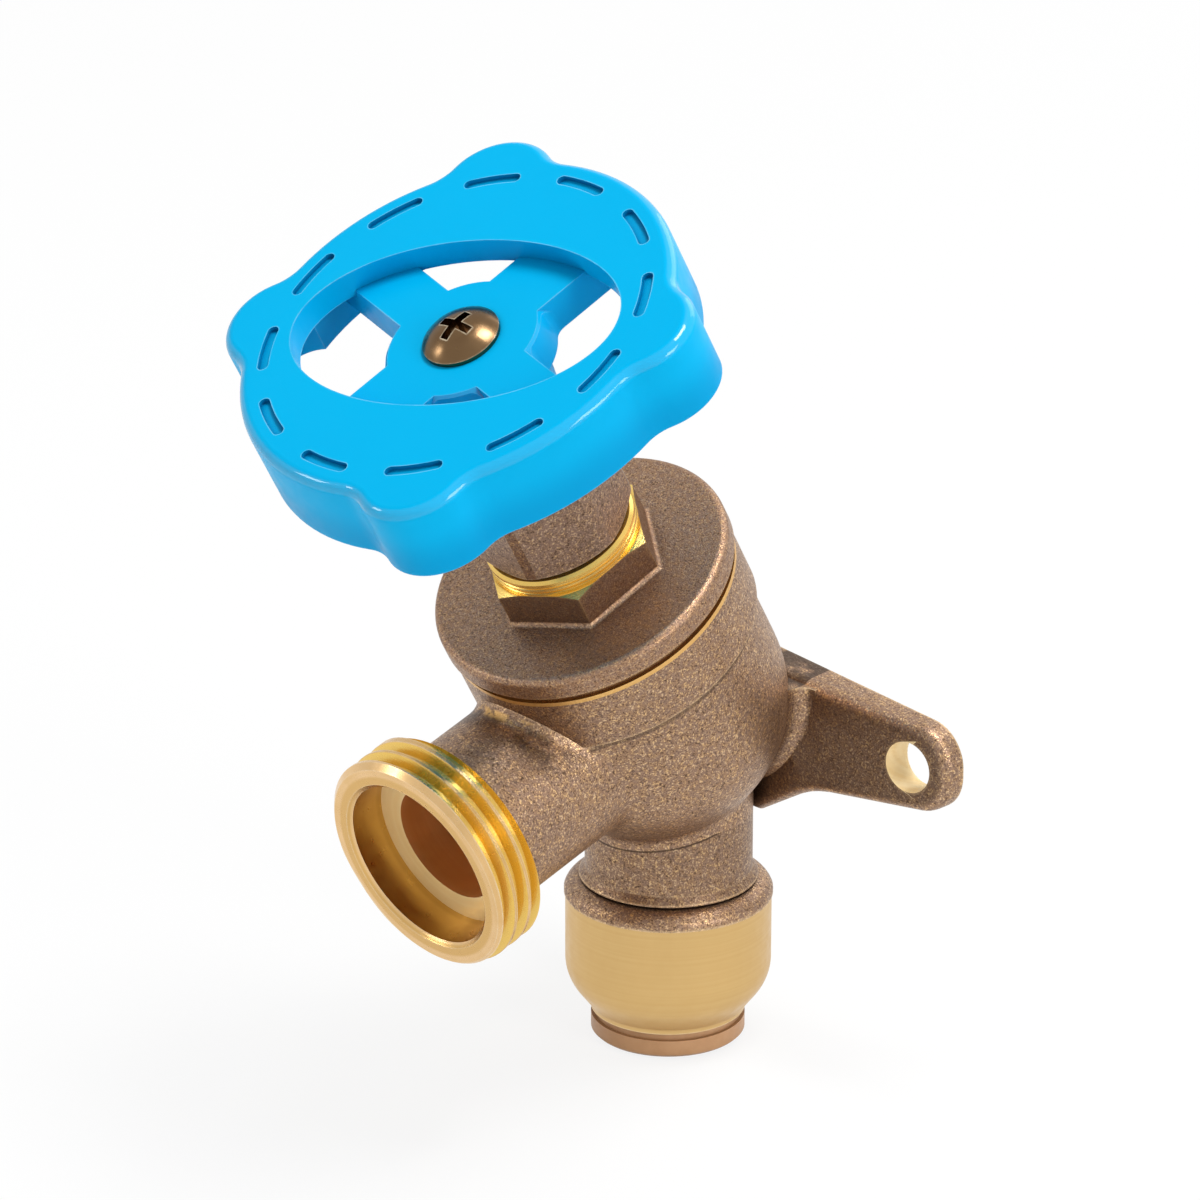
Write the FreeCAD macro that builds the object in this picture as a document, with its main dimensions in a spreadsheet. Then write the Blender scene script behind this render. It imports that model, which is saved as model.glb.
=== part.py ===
import FreeCAD, Part
import math
import os
import types
import Sketcher

# A wall garden valve. The origin is on the wall, midway between the two wall screws. Z is up, the outlet
# points to -Y, and the inlet axis, the stem axis and the outlet axis all lie in the plane X = 0.

doc = FreeCAD.newDocument("garden_valve")
Vector = FreeCAD.Vector

# Stem heights run up the stem axis, outlet distances run out along the outlet axis, and socket depths run
# down the inlet axis from the level of the wall screws.
values = {
    "tilt": 29.5,
    "droop": 16.0,
    "stem_y": -15.94,
    "stem_z": 2.1,
    "outlet_z": 6.17,
    "pipe_y": -13.2,
    # casting
    "flange_top": 20.9,
    "flange_low": 13.3,
    "flange_round": 17.5,
    "barrel_round": 16.75,
    "bulb_height": 3.0,
    "cast_blend": 2.5,
    "tube_round": 10.2,
    "thread_back": 35.7,
    "thread_round": 13.5,
    "outlet_face": 42.6,
    "face_bevel": 0.7,
    "hose_bore": 10.35,
    "hose_floor": 37.5,
    "flow_bore": 7.25,
    "neck_round": 9.87,
    "neck_foot": 18.75,
    "shoulder_curve": 2.3,
    "shoulder_low": 21.3,
    "shoulder_round": 12.3,
    "spigot_round": 11.0,
    "spigot_low": 26.5,
    "pipe_bore": 8.05,
    "pipe_stop": 15.0,
    "gland_bore": 9.95,
    "gland_top": 22.4,
    "inlet_bore": 6.0,
    "inlet_top": 4.9,
    "chamber_bore": 12.5,
    "chamber_floor": -3.5,
    "cover_bore": 14.15,
    "cover_step": 8.0,
    # ears
    "ear_reach": 34.2,
    "ear_peak": 7.7,
    "ear_top": 4.86,
    "ear_low": -5.0,
    "ear_waist": 14.0,
    "ear_waist_low": -7.1,
    "ear_heel": 6.0,
    "ear_heel_low": -12.0,
    "ear_root": 5.0,
    "ear_tip": 2.85,
    "ear_flat": 11.5,
    "ear_corner": 4.85,
    "ear_edge": 1.7,
    "waist_round": 13.0,
    "web_round": 2.0,
    "web_reach": 15.2,
    "web_inset": 0.5,
    "screw_apart": 57.2,
    "screw_hole": 3.1,
    # bonnet
    "disc_round": 17.85,
    "disc_low": 21.56,
    "disc_top": 24.63,
    "disc_edge": 0.9,
    "hex_foot": 0.6,
    "cover_round": 14.1,
    "cover_low": 10.0,
    "hex_corner": 10.33,
    "hex_top": 29.5,
    "hex_turn": 19.65,
    "boss_round": 9.0,
    "boss_top": 31.5,
    "gland_round": 7.2,
    "gland_end": 39.5,
    "box_bore": 6.0,
    "box_floor": 31.5,
    "stem_thread": 6.0,
    "stem_round": 4.0,
    "thread_top": 25.0,
    # packing nut
    "nut_low": 31.7,
    "nut_top": 42.5,
    "nut_web": 40.9,
    "nut_corner": 9.76,
    "nut_limit": 9.4,
    "nut_turn": -5.0,
    # moving parts
    "seat_top": -2.6,
    "washer_thick": 3.0,
    "foot_low": 2.7,
    "shoulder_top": 50.0,
    "square_flat": 5.6,
    "stem_end": 61.0,
    "hub_top": 61.7,
    "hub_low": 46.5,
    "hub_round": 9.2,
    "rim_top": 64.3,
    "rim_low": 54.7,
    "rim_round": 25.85,
    "rim_wall": 2.4,
    "rim_plate": 3.2,
    "rim_edge": 1.3,
    "open_long": 20.6,
    "open_short": 12.8,
    "open_turn": 18.0,
    "groove_round": 22.8,
    "groove_wide": 1.3,
    "groove_deep": 0.6,
    "groove_turn": 7.0,
    "lobe_round": 7.0,
    "lobe_reach": 22.7,
    "lobe_first": 18.0,
    "lobe_second": 120.0,
    "spoke_wide": 9.2,
    "spoke_low": 57.6,
    "spoke_turn": 79.0,
    "cross_wide": 6.8,
    "cross_turn": 165.0,
    "spoke_draft": 4.0,
    "spoke_blend": 2.0,
    "head_round": 4.54,
    "head_rim": 0.5,
    "head_dome": 6.7,
    "cross_long": 4.3,
    "cross_slot": 1.05,
    "head_high": 2.3,
    "screw_round": 1.95,
    # socket
    "sleeve_round": 12.15,
    "bend_drop": 5.0,
    "bend_round": 6.0,
    "neck_drop": 3.9,
    "lip_long": 0.4,
    "sleeve_lip": 9.15,
    "collar_round": 8.7,
    "collar_flange": 1.1,
    "nose_drop": 0.9,
    "collar_lip": 9.1,
    "collar_gap": 0.9,
    "collar_long": 2.1,
}

sheet = doc.addObject("Spreadsheet::Sheet", "sizes")
for row, (name, value) in enumerate(values.items(), start=1):
    sheet.set("A%d" % row, name)
    sheet.set("B%d" % row, str(value))
    sheet.setAlias("B%d" % row, name)
doc.recompute()


class Size:
    """A number together with the sheet expression that gives it."""

    def __init__(self, value, text):
        self.value = value
        self.text = text

    def _join(self, other, sign, result):
        return Size(result, "(%s %s %s)" % (self.text, sign, text_of(other)))

    def __add__(self, other):
        return self._join(other, "+", self.value + number(other))

    def __sub__(self, other):
        return self._join(other, "-", self.value - number(other))

    def __mul__(self, other):
        return self._join(other, "*", self.value * number(other))

    def __neg__(self):
        return Size(-self.value, "(0 - %s)" % self.text)


def number(item):
    return item.value if isinstance(item, Size) else float(item)


def text_of(item):
    return item.text if isinstance(item, Size) else repr(float(item))


z = types.SimpleNamespace(**{name: Size(value, "sizes." + name) for name, value in values.items()})

# depths in the socket frame, each from its neighbour, so that the stack stays in order
sleeve_bend = z.spigot_low + z.bend_drop
sleeve_neck = sleeve_bend + z.neck_drop
sleeve_low = sleeve_neck + z.lip_long
collar_nose = z.spigot_low + z.nose_drop
collar_top = sleeve_low + z.collar_gap
collar_low = collar_top + z.collar_long


def cosine(angle):
    return Size(math.cos(math.radians(number(angle))), "cos(%s * 1 deg)" % text_of(angle))


def sine(angle):
    return Size(math.sin(math.radians(number(angle))), "sin(%s * 1 deg)" % text_of(angle))


# The three frames: where each starts in the plane X = 0, and how far it turns about X from straight up.
FRAMES = {
    "wall": (Size(0.0, "0"), Size(0.0, "0"), Size(0.0, "0")),
    "stem": (z.stem_y, z.stem_z, z.tilt),
    "outlet": (z.pipe_y, z.outlet_z, z.droop + 90),
    "socket": (z.pipe_y, Size(0.0, "0"), Size(180.0, "180")),
}


def new_body(label, frame="wall"):
    """An empty body whose own Z lies along the frame's axis."""
    body = doc.addObject("PartDesign::Body", label)
    body.Label = label
    y, up, turn = FRAMES[frame]
    body.setExpression(
        "Placement",
        "placement(vector(0; %s; %s); rotation(vector(1; 0; 0); %s * 1 deg))" % (y.text, up.text, turn.text),
    )
    return body


def plane_of(body, role):
    for feature in body.Origin.OriginFeatures:
        if feature.Role == role:
            return feature
    raise ValueError(role)


def new_sketch(body, role="XZ_Plane", frame=None, height=None):
    """A sketch on one of the body's own planes, turned to a frame or lifted off the plane."""
    sketch = body.newObject("Sketcher::SketchObject", "profile")
    sketch.AttachmentSupport = (plane_of(body, role), [""])
    sketch.MapMode = "FlatFace"
    if frame:
        y, up, turn = FRAMES[frame]
        sketch.setExpression(
            "AttachmentOffset",
            "placement(vector(%s; %s; 0); rotation(vector(0; 0; 1); %s * 1 deg))" % (y.text, up.text, turn.text),
        )
    if height is not None:
        sketch.setExpression("AttachmentOffset.Base.z", text_of(height))
    return sketch


def fix(sketch, kind, geometry, point, item):
    """Hold one coordinate of a point, to an axis when it is nought."""
    if number(item) == 0:
        axis = -2 if kind == "DistanceX" else -1
        sketch.addConstraint(Sketcher.Constraint("PointOnObject", geometry, point, axis))
        return
    index = sketch.addConstraint(Sketcher.Constraint(kind, -1, 1, geometry, point, number(item)))
    if isinstance(item, Size):
        sketch.setExpression("Constraints[%d]" % index, item.text)


def flat(point):
    return Vector(number(point[0]), number(point[1]), 0)


def outline(sketch, points, arcs=None):
    """A closed outline through the points: straight, or an arc where a radius and a middle are given."""
    first = sketch.GeometryCount
    count = len(points)
    arcs = arcs or {}
    tips = []
    for index in range(count):
        start = flat(points[index])
        end = flat(points[(index + 1) % count])
        piece = Part.LineSegment(start, end)
        tip = (1, 2)
        if index in arcs:
            middle = flat(arcs[index][1])
            piece = Part.Arc(start, middle, end)
            if (middle - start).cross(end - middle).z < 0:
                # a sketch holds every arc turning left, so this one is drawn from its other end
                piece = Part.Arc(end, middle, start)
                tip = (2, 1)
        sketch.addGeometry(piece, False)
        tips.append(tip)
    for index in range(count):
        after = (index + 1) % count
        pair = (first + index, tips[index][1], first + after, tips[after][0])
        sketch.addConstraint(Sketcher.Constraint("Coincident", *pair))
    for index, (across, along) in enumerate(points):
        fix(sketch, "DistanceX", first + index, tips[index][0], across)
        fix(sketch, "DistanceY", first + index, tips[index][0], along)
    for index, (size, _) in arcs.items():
        held = sketch.addConstraint(Sketcher.Constraint("Radius", first + index, number(size)))
        sketch.setExpression("Constraints[%d]" % held, text_of(size))


def ring(sketch, across, along, size):
    """A circle with its centre and radius held."""
    centre = Vector(number(across), number(along), 0)
    index = sketch.addGeometry(Part.Circle(centre, Vector(0, 0, 1), number(size)), False)
    fix(sketch, "DistanceX", index, 3, across)
    fix(sketch, "DistanceY", index, 3, along)
    held = sketch.addConstraint(Sketcher.Constraint("Radius", index, number(size)))
    sketch.setExpression("Constraints[%d]" % held, text_of(size))


def oval(sketch, long, short, turn):
    """An ellipse about the origin with its half lengths and its turn held."""
    sketch.addGeometry(Part.Ellipse(Vector(0, 0, 0), number(long), number(short)), False)
    sketch.exposeInternalGeometry(0)
    sketch.addConstraint(Sketcher.Constraint("Coincident", 0, 3, -1, 1))
    for line, half in ((1, long), (2, short)):
        held = sketch.addConstraint(Sketcher.Constraint("Distance", line, number(half) * 2))
        sketch.setExpression("Constraints[%d]" % held, "2 * " + half.text)
    held = sketch.addConstraint(Sketcher.Constraint("Angle", -1, 1, 1, 1, math.radians(number(turn))))
    sketch.setExpression("Constraints[%d]" % held, turn.text + " * 1 deg")


def hexagon(sketch, corner, turn):
    outline(sketch, [(corner * cosine(turn + 60 * n), corner * sine(turn + 60 * n)) for n in range(6)])


def turn_on(body, points, cut=False, frame=None, arcs=None):
    """Turn a profile of radius and height about the frame's axis, to add or to cut."""
    role = "YZ_Plane" if frame else "XZ_Plane"
    sketch = new_sketch(body, role, frame)
    outline(sketch, points, arcs)
    feature = body.newObject("PartDesign::Groove" if cut else "PartDesign::Revolution", "turned")
    feature.Profile = sketch
    feature.ReferenceAxis = (sketch, ["V_Axis"])
    feature.Angle = 360
    return feature


def turned(label, points, frame="stem"):
    body = new_body(label, frame)
    turn_on(body, points)
    return body


def extrude(body, sketch, length, cut=False, back=False):
    feature = body.newObject("PartDesign::Pocket" if cut else "PartDesign::Pad", "extruded")
    feature.Profile = sketch
    feature.setExpression("Length", text_of(length))
    feature.Reversed = back
    return feature


def edges_where(feature, test):
    doc.recompute()
    return ["Edge%d" % (n + 1) for n, edge in enumerate(feature.Shape.Edges) if test(edge)]


def dress(body, feature, kind, names, size):
    """Round or bevel the named edges of a feature."""
    result = body.newObject("PartDesign::" + kind, kind.lower())
    result.Base = (feature, names)
    result.setExpression("Radius" if kind == "Fillet" else "Size", text_of(size))
    return result


def circle_at(across, height, slack=0.02):
    """A test for round edges about the body's own Z, at a radius and a height."""

    def test(edge):
        curve = edge.Curve
        return (
            isinstance(curve, Part.Circle)
            and abs(curve.Radius - number(across)) < slack
            and abs(curve.Center.z - number(height)) < slack
            and math.hypot(curve.Center.x, curve.Center.y) < slack
        )

    return test


def straight_at(height, slack=0.02):
    """A test for straight edges that lie level at a height."""
    level = number(height)

    def test(edge):
        straight = edge.Curve.TypeId == "Part::GeomLine"
        return straight and all(abs(corner.Point.z - level) < slack for corner in edge.Vertexes)

    return test


# casting
valve_body = new_body("valve_body")

# barrel with its round bottom
low = z.bulb_height - z.barrel_round
turn_on(
    valve_body,
    [(0, low), (z.barrel_round, z.bulb_height), (z.barrel_round, z.flange_top), (0, z.flange_top)],
    frame="stem",
    arcs={0: (z.barrel_round, (z.barrel_round * 0.7071, z.bulb_height - z.barrel_round * 0.7071))},
)

# outlet tube with the plain cylinder that the hose thread is cut on
turn_on(
    valve_body,
    [
        (0, 0),
        (z.tube_round, 0),
        (z.tube_round, z.thread_back - 0.8),
        (z.tube_round + 0.8, z.thread_back),
        (z.thread_round - 1, z.thread_back),
        (z.thread_round, z.thread_back + 0.6),
        (z.thread_round, z.outlet_face - z.face_bevel),
        (z.thread_round - z.face_bevel, z.outlet_face),
        (0, z.outlet_face),
    ],
    frame="outlet",
)

# inlet neck with its foot, the shoulder over the socket and the spigot inside the sleeve
neck = turn_on(
    valve_body,
    [
        (0, 0),
        (z.neck_round, 0),
        (z.neck_round, z.neck_foot - 0.9),
        (z.neck_round + 0.7, z.neck_foot),
        (z.neck_round + 0.7, z.neck_foot + 0.15),
        (z.neck_round + 0.3, z.neck_foot + 0.35),
        (z.neck_round + 0.6, z.neck_foot + 0.45),
        (z.shoulder_round, z.neck_foot + 1.95),
        (z.shoulder_round, z.shoulder_low),
        (z.spigot_round, z.shoulder_low),
        (z.spigot_round, z.spigot_low),
        (0, z.spigot_low),
    ],
    frame="socket",
    arcs={6: (z.shoulder_curve, (z.shoulder_round - 0.55, z.neck_foot + 0.95))},
)


def beside_axis(point, frame, across):
    """Whether a point is at a distance from a frame's axis."""
    y, up, turn = FRAMES[frame]
    slope = math.radians(number(turn))
    side = (point.y - number(y)) * math.cos(slope) + (point.z - number(up)) * math.sin(slope)
    return abs(math.hypot(point.x, side) - number(across)) < 0.02


def seam(frame, across):
    """A test for the curved edges where a round of the frame meets another form."""

    def test(edge):
        if isinstance(edge.Curve, (Part.Circle, Part.Line)):
            return False
        first, last = edge.ParameterRange
        spots = [edge.valueAt(first + (last - first) * part) for part in (0.1, 0.35, 0.6, 0.85)]
        return all(beside_axis(spot, frame, across) for spot in spots)

    return test


# the cast blends of tube and neck
names = edges_where(neck, seam("outlet", z.tube_round))
names += edges_where(neck, seam("socket", z.neck_round))
blend = dress(valve_body, neck, "Fillet", names, z.cast_blend)

# back plate with the two ears, sloping thinner to the tips
ears = new_body("ears")
plate = new_sketch(ears, "XZ_Plane")
EAR_LINE = [
    (Size(0.0, "0"), z.ear_peak),
    (z.ear_reach, z.ear_top),
    (z.ear_reach, z.ear_low),
    (z.ear_waist, z.ear_waist_low),
    (z.ear_heel, z.ear_heel_low),
    (-z.ear_heel, z.ear_heel_low),
    (-z.ear_waist, z.ear_waist_low),
    (-z.ear_reach, z.ear_low),
    (-z.ear_reach, z.ear_top),
]
outline(plate, EAR_LINE)
feature = extrude(ears, plate, z.ear_root)
for side in (1, -1):
    slope = new_sketch(ears, "XY_Plane")
    outline(
        slope,
        [
            (z.ear_flat * side, -z.ear_root - 1),
            (z.ear_flat * side, -z.ear_root),
            (z.ear_reach * side, -z.ear_tip),
            ((z.ear_reach + 1) * side, -z.ear_tip),
            ((z.ear_reach + 1) * side, -z.ear_root - 1),
        ],
    )
    feature = extrude(ears, slope, z.ear_reach, cut=True)
    feature.Midplane = True


def along_y(edge, across, tall):
    ends = [v.Point for v in edge.Vertexes]
    return (
        len(ends) == 2
        and all(abs(abs(p.x) - number(across)) < 0.02 and abs(p.z - number(tall)) < 0.02 for p in ends)
    )


names = edges_where(
    feature,
    lambda e: along_y(e, z.ear_reach, z.ear_top) or along_y(e, z.ear_reach, z.ear_low),
)
feature = dress(ears, feature, "Fillet", names, z.ear_corner)
names = edges_where(feature, lambda e: along_y(e, z.ear_waist, z.ear_waist_low))
feature = dress(ears, feature, "Fillet", names, z.waist_round)

# rounded front edge all round the ears
names = edges_where(
    feature,
    lambda e: e.BoundBox.YMax < 0.1 - number(z.ear_tip) and abs(abs(e.CenterOfMass.x) - number(z.ear_flat)) > 0.1,
)
feature = dress(ears, feature, "Fillet", names, z.ear_edge)

# the hollow curve from the ears to the round bottom, a little inside the outline of the ears
web = new_body("web")
web_face = -z.ear_root + 0.35
curve = new_sketch(web, "XY_Plane", height=z.stem_z + cosine(z.tilt) * z.bulb_height)
outline(
    curve,
    [
        (0, -z.ear_root + 2),
        (z.web_reach, -z.ear_root + 2),
        (z.web_reach, web_face),
        (z.web_reach - z.web_round * 0.866, web_face - z.web_round * 1.5),
        (0, web_face - z.web_round * 1.5),
    ],
    arcs={2: (z.web_round, (z.web_reach - z.web_round * 0.866, web_face - z.web_round * 0.5))},
)
feature = web.newObject("PartDesign::Revolution", "turned")
feature.Profile = curve
feature.ReferenceAxis = (curve, ["V_Axis"])
feature.Angle = 360
trim = new_sketch(web, "XZ_Plane")
inset = z.web_inset
outline(
    trim,
    [
        (Size(0.0, "0"), z.ear_peak - inset),
        (z.ear_reach, z.ear_top - inset),
        (z.ear_waist, z.ear_waist_low + inset),
        (z.ear_heel, z.ear_heel_low + inset),
        (-z.ear_heel, z.ear_heel_low + inset),
        (-z.ear_waist, z.ear_waist_low + inset),
        (-z.ear_reach, z.ear_top - inset),
    ],
)
wide = z.ear_reach + 5
outline(trim, [(wide, wide), (-wide, wide), (-wide, -wide), (wide, -wide)])
feature = extrude(web, trim, z.ear_root + 20, cut=True, back=True)

# ears and curve join the casting
join = valve_body.newObject("PartDesign::Boolean", "join")
join.setObjects([ears, web])
join.Type = "Fuse"

# flange under the bonnet
turn_on(
    valve_body,
    [
        (0, z.flange_low - 0.8),
        (z.barrel_round - 0.1, z.flange_low - 0.8),
        (z.flange_round, z.flange_low),
        (z.flange_round, z.flange_top),
        (0, z.flange_top),
    ],
    frame="stem",
)

# chamber, seat hole and the bore for the bonnet
turn_on(
    valve_body,
    [
        (0, z.chamber_floor - 8.5),
        (5.2, z.chamber_floor - 8.5),
        (5.2, z.chamber_floor - 4),
        (6.03, z.chamber_floor - 4),
        (6.03, z.chamber_floor),
        (z.chamber_bore, z.chamber_floor),
        (z.chamber_bore, z.cover_step),
        (z.cover_bore, z.cover_step),
        (z.cover_bore, z.flange_top + 1),
        (0, z.flange_top + 1),
    ],
    cut=True,
    frame="stem",
)
turn_on(
    valve_body,
    [
        (0, 6),
        (z.flow_bore, 6),
        (z.flow_bore, z.hose_floor),
        (z.hose_bore, z.hose_floor),
        (z.hose_bore, z.outlet_face - 0.5),
        (z.hose_bore + 0.5, z.outlet_face),
        (z.hose_bore + 0.5, z.outlet_face + 1),
        (0, z.outlet_face + 1),
    ],
    cut=True,
    frame="outlet",
)
turn_on(
    valve_body,
    [
        (0, z.inlet_top),
        (z.inlet_bore, z.inlet_top),
        (z.inlet_bore, z.pipe_stop),
        (z.pipe_bore, z.pipe_stop),
        (z.pipe_bore, z.gland_top),
        (z.gland_bore, z.gland_top),
        (z.gland_bore, z.spigot_low + 1),
        (0, z.spigot_low + 1),
    ],
    cut=True,
    frame="socket",
)
holes = new_sketch(valve_body, "XZ_Plane")
ring(holes, z.screw_apart * 0.5, 0, z.screw_hole)
ring(holes, z.screw_apart * -0.5, 0, z.screw_hole)
feature = extrude(valve_body, holes, z.ear_root + 1, cut=True)
feature.Midplane = True
feature.setExpression("Length", "2 * sizes.ear_root + 2")

# parts held by the casting
turned(
    "seat_ring",
    [
        (4.6, z.chamber_floor - 4),
        (6.0, z.chamber_floor - 4),
        (6.0, z.chamber_floor),
        (7.2, z.chamber_floor),
        (7.2, z.chamber_floor + 0.5),
        (5.6, z.seat_top),
        (4.6, z.seat_top),
    ],
)
turned(
    "bonnet_gasket",
    [
        (z.cover_bore + 0.1, z.flange_top),
        (z.flange_round - 0.5, z.flange_top),
        (z.flange_round - 0.5, z.disc_low),
        (z.cover_bore + 0.1, z.disc_low),
    ],
)

bonnet = new_body("bonnet", "stem")
turn_on(
    bonnet,
    [
        (0, z.cover_low),
        (z.cover_round - 0.8, z.cover_low),
        (z.cover_round, z.cover_low + 0.8),
        (z.cover_round, z.disc_low),
        (z.disc_round - 0.3, z.disc_low),
        (z.disc_round, z.disc_low + 0.4),
        (z.disc_round, z.disc_top),
        (0, z.disc_top),
    ],
)
base = new_sketch(bonnet, "XY_Plane", height=z.disc_top - 0.5)
hexagon(base, z.hex_corner, z.hex_turn)
feature = extrude(bonnet, base, z.hex_top - z.disc_top + 0.5)
names = edges_where(feature, circle_at(z.disc_round, z.disc_top))
feature = dress(bonnet, feature, "Fillet", names, z.disc_edge)
names = edges_where(feature, straight_at(z.disc_top))
feature = dress(bonnet, feature, "Fillet", names, z.hex_foot)
turn_on(
    bonnet,
    [
        (z.boss_round + 0.3, z.hex_top + 1),
        (z.boss_round + 0.3, z.hex_top - 0.1),
        (z.hex_corner + 0.6, z.hex_top - 0.8),
        (z.hex_corner + 0.6, z.hex_top + 1),
    ],
    cut=True,
)
turn_on(
    bonnet,
    [
        (0, z.hex_top - 0.5),
        (z.boss_round, z.hex_top - 0.5),
        (z.boss_round, z.hex_top + 0.3),
        (z.boss_round - 0.3, z.hex_top + 0.45),
        (z.boss_round, z.hex_top + 0.6),
        (z.boss_round, z.hex_top + 0.9),
        (z.boss_round - 0.3, z.hex_top + 1.05),
        (z.boss_round, z.hex_top + 1.2),
        (z.boss_round, z.boss_top - 0.35),
        (z.boss_round - 0.35, z.boss_top),
        (z.gland_round, z.boss_top),
        (z.gland_round, z.gland_end - 0.5),
        (z.gland_round - 0.5, z.gland_end),
        (0, z.gland_end),
    ],
)
turn_on(
    bonnet,
    [
        (0, z.cover_low - 1),
        (10.2, z.cover_low - 1),
        (10.2, z.cover_low + 3),
        (z.stem_thread + 0.08, z.cover_low + 3),
        (z.stem_thread + 0.08, z.thread_top),
        (z.stem_round + 0.08, z.thread_top + 1),
        (z.stem_round + 0.08, z.box_floor),
        (z.box_bore, z.box_floor),
        (z.box_bore, z.gland_end + 1),
        (0, z.gland_end + 1),
    ],
    cut=True,
)

turned(
    "packing_washer",
    [
        (z.stem_round + 0.1, z.box_floor),
        (z.box_bore - 0.05, z.box_floor),
        (z.box_bore - 0.05, z.box_floor + 0.8),
        (z.stem_round + 0.1, z.box_floor + 0.8),
    ],
)
turned(
    "packing",
    [
        (z.stem_round + 0.02, z.box_floor + 0.8),
        (z.box_bore - 0.02, z.box_floor + 0.8),
        (z.box_bore - 0.02, z.box_floor + 4.8),
        (z.stem_round + 0.02, z.box_floor + 4.8),
    ],
)
turned(
    "gland_ring",
    [
        (z.stem_round + 0.08, z.box_floor + 4.8),
        (z.box_bore - 0.06, z.box_floor + 4.8),
        (z.box_bore - 0.06, z.nut_web - 0.4),
        (z.box_bore - 0.46, z.nut_web),
        (z.stem_round + 0.08, z.nut_web),
    ],
)

packing_nut = new_body("packing_nut", "stem")
base = new_sketch(packing_nut, "XY_Plane", height=z.nut_low)
hexagon(base, z.nut_corner, z.nut_turn)
extrude(packing_nut, base, z.nut_top - z.nut_low)
turn_on(
    packing_nut,
    [
        (z.nut_corner - 1.6, z.nut_low - 1),
        (z.nut_corner - 1.6, z.nut_low),
        (z.nut_limit, z.nut_low + 0.9),
        (z.nut_limit, z.nut_top - 1),
        (z.nut_limit - 1.8, z.nut_top),
        (z.nut_limit - 1.8, z.nut_top + 1),
        (z.nut_corner + 1, z.nut_top + 1),
        (z.nut_corner + 1, z.nut_low - 1),
    ],
    cut=True,
)
turn_on(
    packing_nut,
    [
        (0, z.nut_low - 1),
        (z.gland_round + 0.5, z.nut_low - 1),
        (z.gland_round + 0.5, z.nut_low + 0.2),
        (z.gland_round + 0.06, z.nut_low + 0.7),
        (z.gland_round + 0.06, z.nut_web),
        (z.stem_round + 0.15, z.nut_web),
        (z.stem_round + 0.15, z.nut_top + 1),
        (0, z.nut_top + 1),
    ],
    cut=True,
)

# seat group: slides along the stem axis
turned(
    "seat_disc",
    [
        (0, z.seat_top - 3.4),
        (1.9, z.seat_top - 3.4),
        (1.9, z.seat_top + z.washer_thick),
        (6.5, z.seat_top + z.washer_thick),
        (6.5, z.seat_top + 1.4),
        (7.3, z.seat_top + 1.4),
        (7.3, z.foot_low - 1.1),
        (6.3, z.foot_low - 0.1),
        (3.0, z.foot_low - 0.1),
        (3.0, z.foot_low + 2.3),
        (2.5, z.foot_low + 2.3),
        (2.5, z.foot_low + 3.0),
        (3.0, z.foot_low + 3.0),
        (3.0, z.foot_low + 5.4),
        (2.5, z.foot_low + 5.9),
        (0, z.foot_low + 5.9),
    ],
)
turned(
    "seat_washer",
    [
        (1.98, z.seat_top),
        (6.4, z.seat_top),
        (6.4, z.seat_top + z.washer_thick),
        (1.98, z.seat_top + z.washer_thick),
    ],
)
washer_nut = new_body("washer_nut", "stem")
base = new_sketch(washer_nut, "XY_Plane", height=z.seat_top - 2.4)
hexagon(base, Size(3.7, "3.7"), Size(0.0, "0"))
ring(base, 0, 0, Size(1.95, "1.95"))
extrude(washer_nut, base, Size(2.4, "2.4"))

swivel_clip = new_body("swivel_clip", "stem")
base = new_sketch(swivel_clip, "XY_Plane", height=z.foot_low + 2.35)
ring(base, 0, 0, Size(3.55, "3.55"))
ring(base, 0, 0, Size(2.55, "2.55"))
extrude(swivel_clip, base, Size(0.6, "0.6"))
base = new_sketch(swivel_clip, "XY_Plane", height=z.foot_low + 2)
outline(base, [(0, -0.6), (5, -0.6), (5, 0.6), (0, 0.6)])
extrude(swivel_clip, base, Size(2.0, "2"), cut=True, back=True)

# stem and handwheel: turn on the seat group
spindle = new_body("spindle", "stem")
turn_on(
    spindle,
    [
        (3.05, z.foot_low),
        (5.0, z.foot_low),
        (5.5, z.foot_low + 0.5),
        (5.5, z.foot_low + 4.3),
        (z.stem_thread, z.foot_low + 4.8),
        (z.stem_thread, z.thread_top - 5.9),
        (z.stem_thread - 0.8, z.thread_top - 5.1),
        (z.stem_round, z.thread_top - 5.1),
        (z.stem_round, z.shoulder_top),
        (z.screw_round + 0.02, z.shoulder_top),
        (z.screw_round + 0.02, z.shoulder_top - 1.5),
        (0, z.shoulder_top - 2.5),
        (0, z.foot_low + 6.6),
        (3.05, z.foot_low + 6.2),
        (3.05, z.foot_low + 3.1),
        (3.65, z.foot_low + 3.1),
        (3.65, z.foot_low + 2.2),
        (3.05, z.foot_low + 2.2),
    ],
)
base = new_sketch(spindle, "XY_Plane", height=z.shoulder_top)
half = z.square_flat * 0.5
outline(base, [(half, half), (-half, half), (-half, -half), (half, -half)])
ring(base, 0, 0, z.screw_round + 0.02)
extrude(spindle, base, z.stem_end - z.shoulder_top)

handwheel = new_body("handwheel", "stem")
base = new_sketch(handwheel, "XY_Plane", height=z.rim_low)
ring(base, 0, 0, z.rim_round)
disc = extrude(handwheel, base, z.rim_top - z.rim_low)
LOBES = [z.lobe_first, z.lobe_second, z.lobe_first + 180, z.lobe_second + 180]


def lobes(body, low, size, length, cut=False):
    for turn in LOBES:
        sketch = new_sketch(body, "XY_Plane", height=low)
        ring(sketch, z.lobe_reach * cosine(turn), z.lobe_reach * sine(turn), size)
        feature = extrude(body, sketch, length, cut=cut, back=cut)
    return feature


feature = lobes(handwheel, z.rim_low, z.lobe_round, z.rim_top - z.rim_low)


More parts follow.
